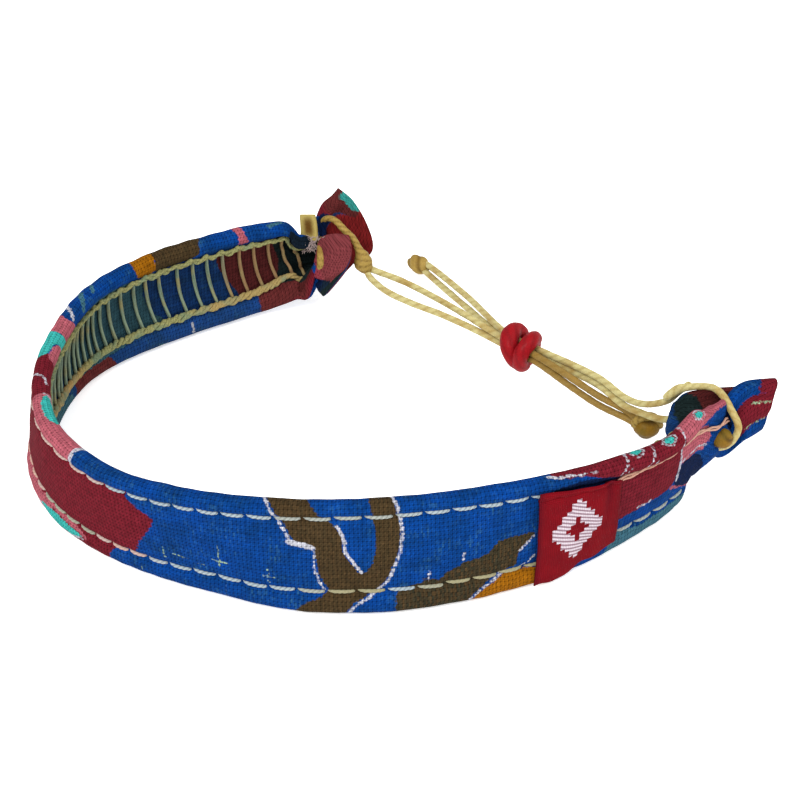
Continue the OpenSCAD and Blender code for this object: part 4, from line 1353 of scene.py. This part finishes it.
# %% Left tie's stub
def cut_stub(rings, sides):
    """A nearly square stub on a straight line: at height h from 0 to 1 and angle v it reaches
    (1.08 - 0.1 h) / (|cos v|^5 + |sin v|^5)^0.2 mm out, a little uneven. Its cut end is dished in,
    and shade is painted into the middle of the side to the front and into the middle of the cut end."""
    low, high = to_world([[-11.1, 19.6, -12.9], [-11.4, 22.8, -12.3]])
    height, v = ring_grid(0, 1, rings, sides)
    square = 1.0 / (np.abs(np.cos(v)) ** 5 + np.abs(np.sin(v)) ** 5) ** 0.2
    reach = (1.08 - 0.1 * height + 0.05 * wave_noise(3 * v, 6 * height, 12)) * square
    outwards = CAMERA_RIGHT * np.cos(v)[..., None] + back * np.sin(v)[..., None]
    stub = low + (high - low) * height[..., None] + reach[..., None] * outwards
    points = np.vstack([stub.reshape(-1, 3), low, high - (high - low) * 0.1])
    # Painted shade: the middle of the front face, and 0.6 at the middle of the cut end.
    shaded = np.exp(-(((height - 0.52) / 0.4) ** 4)) * np.clip(4.0 * np.sin(v) - 2.9, 0, 1)
    values = {"painted_shade": np.append(shaded.ravel(), [0.0, 0.6])}
    print("stub is", round(np.linalg.norm(high - low), 1), "mm long")
    return make_piece(
        "left_tie_stub", points, tube_faces(rings, sides), cap_fans(rings, sides), values=values)


fixed(cut_stub(30, 48), "left_tie", stub_wax)


# %% Frayed fibres
def frayed_fibres(count):
    """Fine fibres from a small box at the neck: each is its root plus t lean plus t^2 bend, with
    random directions for both."""
    draw = np.random.default_rng(17)
    box = [(-12.0, -10.0), (18.4, 20.2), (-12.4, -11.6)]
    root = to_world(np.column_stack([draw.uniform(low, high, count) for low, high in box]))
    lean = draw.normal(0, 0.26, (count, 1, 3))
    bend = draw.normal(0, 0.3, (count, 1, 3))
    t = np.linspace(0, 1, 9)[None, :, None]
    lines = root[:, None] + t * lean + t * t * bend
    return many_cords("frayed_fibres", lines, 0.04, sides=5, taper=(0.2, 0.3))


frayed = frayed_fibres(160)
frayed.data.materials.append(fibre)
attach(frayed, "root")
print("frayed fibres:", len(frayed.data.vertices), "points")

# %% Right tie
RIGHT_AXIS = np.array([0.76, 0.65, 0])
RIGHT_LOOP = [
    # right, up, near, radius
    [28.9, 0.0, 14.8, 0.4], [29.6, 0.6, 15.0, 0.5], [30.5, 1.2, 15.4, 0.55], [31.5, 1.4, 15.9, 0.42],
    [32.9, 1.5, 16.3, 0.38], [34.1, 1.3, 17.0, 0.40], [35.0, 0.4, 17.8, 0.41], [35.7, -1.0, 18.3, 0.41],
    [36.4, -2.4, 18.4, 0.41], [36.5, -3.3, 18.2, 0.40], [36.1, -4.2, 17.9, 0.40],
    [35.4, -4.9, 17.5, 0.38], [34.6, -5.15, 17.3, 0.36], [34.0, -4.9, 17.1, 0.32]]
right_tie, line = cord_mesh("right_tie_cord", seen_rows(RIGHT_LOOP), unit(RIGHT_AXIS), lay=2.8, relief=0.05)
fixed(right_tie, "right_tie", wax)
print("right tie's loop is", round(lengths_along(line)[-1], 1), "mm long")
RIGHT_INLET = [
    # right, up, near, radius
    [31.7, -1.78, 11.15, 0.4], [32.15, -1.7, 10.95, 0.4], [32.5, -1.8, 11.3, 0.4], [32.5, -2.0, 12.0, 0.4],
    [32.2, -2.2, 12.8, 0.4], [31.9, -2.3, 13.5, 0.4], [31.7, -2.4, 14.1, 0.4]]
right_inlet, line = cord_mesh(
    "right_tie_inlet", seen_rows(RIGHT_INLET), unit(RIGHT_AXIS), lay=2.8, relief=0.05)
fixed(right_inlet, "right_tie", wax)
print("and its inlet is", round(lengths_along(line)[-1], 1), "mm long")

# %% [markdown]
# ## The knots
# The sliding knot is a fat red cord wound round the four sliding cords. A table gives each place
# of it by its angle round them, so the turns can be spread and pressed together as on the real
# knot. A tied knot is too small for its turns to be laid one by one, so it is an ellipsoid with
# ridges that wind round it.

# %% Sliding knot
SLIDE_AT = np.array([14.7, 9.7, 4.3])
SLIDE_AXIS = np.array([0.7071, -0.7071, 0])
across = np.cross(SLIDE_AXIS, UP)
WINDING = [
    # turned in degrees, out from the axis, along it, radius
    [-190, 1.60, -1.00, 0.80], [-90, 1.65, -1.30, 0.90], [-20, 1.50, -1.45, 1.00], [30, 1.55, -1.05, 1.12],
    [60, 1.65, -0.55, 1.10], [90, 1.75, 0.00, 1.00], [130, 1.75, 0.55, 0.88], [180, 1.75, 0.70, 0.82],
    [270, 1.65, 0.70, 0.80], [330, 1.65, 1.30, 0.90], [370, 1.75, 1.70, 0.95], [410, 1.80, 1.70, 0.93],
    [450, 1.80, 1.50, 0.90], [500, 1.80, 1.20, 0.88], [550, 1.65, 0.80, 0.80]]
turned, reach, along_axis, fat = rows_at(WINDING, np.linspace(0, len(WINDING) - 1, 57)).T
v = np.radians(turned)[:, None]
coil = SLIDE_AT + reach[:, None] * (UP * np.cos(v) + across * np.sin(v)) + SLIDE_AXIS * along_axis[:, None]
coil = np.column_stack([coil, fat])
slide_knot, line = cord_mesh(
    "slide_knot_cord", coil, SLIDE_AXIS, sides=28, yarns=5, lay=7.0, relief=0.035)
fixed(slide_knot, "slide_knot", red_cord)
print("sliding knot's cord is", round(lengths_along(line)[-1], 1), "mm long")


# %% Tied knots
def lump(name, node, at, ahead, long, wide, material, turns=1.0, pitch=2.6, relief=0.16):
    """A tight overhand knot: an ellipsoid long by wide, with turns of cord standing out as ridges
    that wind round it, r (1 + relief (|cos(turns v + pitch w)| - 0.7)) at turn v and height w."""
    rings, sides = 40, 48
    ahead = unit(np.array(ahead, float))
    side = unit(np.cross(ahead, UP))
    over = np.cross(side, ahead)
    w, v = ring_grid(-1.45, 1.45, rings, sides)
    ridge = np.abs(np.cos(turns * v + pitch * w))
    r = 1 + relief * (ridge - 0.7)
    out = wide * np.cos(w) * r
    points = np.array(at) + (ahead * (long * np.sin(w) * r)[..., None]
        + side * (out * np.cos(v))[..., None] + over * (out * np.sin(v))[..., None])
    flat = np.vstack([points.reshape(-1, 3), points[0].mean(0), points[-1].mean(0)])
    # Painted shade between the ridges of the knot, kept for the shader.
    values = {"painted_shade": np.append((1 - ridge).ravel(), [0, 0])}
    piece = make_piece(name, flat, tube_faces(rings, sides), cap_fans(rings, sides), values=values)
    fixed(piece, node, material)
    print(name, "is", 2 * long, "by", 2 * wide, "mm")


lump("left_end_knot_cord", "left_end_knot", [2.9, 32.6, 1.4], [-0.75, 0.65, 0.05], 1.6, 1.15, tan_wax)
lump("right_end_knot_cord", "right_end_knot", [28.4, -3.0, 2.1], [0.1, 0.25, 1.0], 1.4, 1.5, knot_wax,
    turns=0.0, pitch=1.9, relief=0.10)
BALL_TURN = [
    # right, up, near, radius
    [26.4, -3.2, 8.0, 0.4], [26.7, -2.3, 8.5, 0.5], [27.5, -1.9, 8.8, 0.52], [28.5, -1.9, 8.6, 0.52],
    [29.2, -2.5, 8.2, 0.5], [29.5, -3.2, 7.6, 0.4]]
ball_turn, _ = cord_mesh("right_end_knot_turn", seen_rows(BALL_TURN), np.array([0.2, 0.1, 1.0]), relief=0.04)
fixed(ball_turn, "right_end_knot", tan_wax)
lump("right_tie_knot", "right_tie", to_world([34.7, -4.15, 18.5]), [0.9, -0.2, 0.3], 1.2, 1.1, knot_wax,
    turns=1.0, pitch=1.6, relief=0.12)

# %% [markdown]
# ## Floor and light
# The shot has a white background and soft light from all sides, a little stronger from above and
# in front. The floor is plain and pale, so only a faint shadow shows.

# %% Floor and light
bpy.ops.mesh.primitive_plane_add(size=3.0, location=(0, 0, -0.0002))
floor = bpy.context.object
floor.name = "floor"
paper = Shader("white_paper", 0.9)
paper.surface.inputs["Emission Color"].default_value = rgb(255, 255, 255)
paper.surface.inputs["Emission Strength"].default_value = 0.4
floor.data.materials.append(paper.finish(rgb(250, 250, 250)))
world = bpy.data.worlds.new("soft_room")
world.use_nodes = True
world.node_tree.nodes["Background"].inputs["Color"].default_value = (1.0, 1.0, 1.0, 1.0)
world.node_tree.nodes["Background"].inputs["Strength"].default_value = 0.9
bpy.context.scene.world = world


def lamp(name, place, size, power):
    """A square soft box at a place in metres, turned to the bracelet."""
    data = bpy.data.lights.new(name, "AREA")
    data.size = size
    data.energy = power
    light = bpy.data.objects.new(name, data)
    light.location = place
    to = -np.array(place)
    tilt = math.acos(-to[2] / np.linalg.norm(to))
    light.rotation_euler = (tilt, 0, math.atan2(to[1], to[0]) - math.pi / 2)
    bpy.context.scene.collection.objects.link(light)
    print(name, "is", round(np.linalg.norm(to), 2), "m away")


lamp("key_light", (-0.25, -0.45, 0.6), 0.4, 6.0)
lamp("fill_light", (0.5, -0.2, 0.45), 0.5, 2.5)
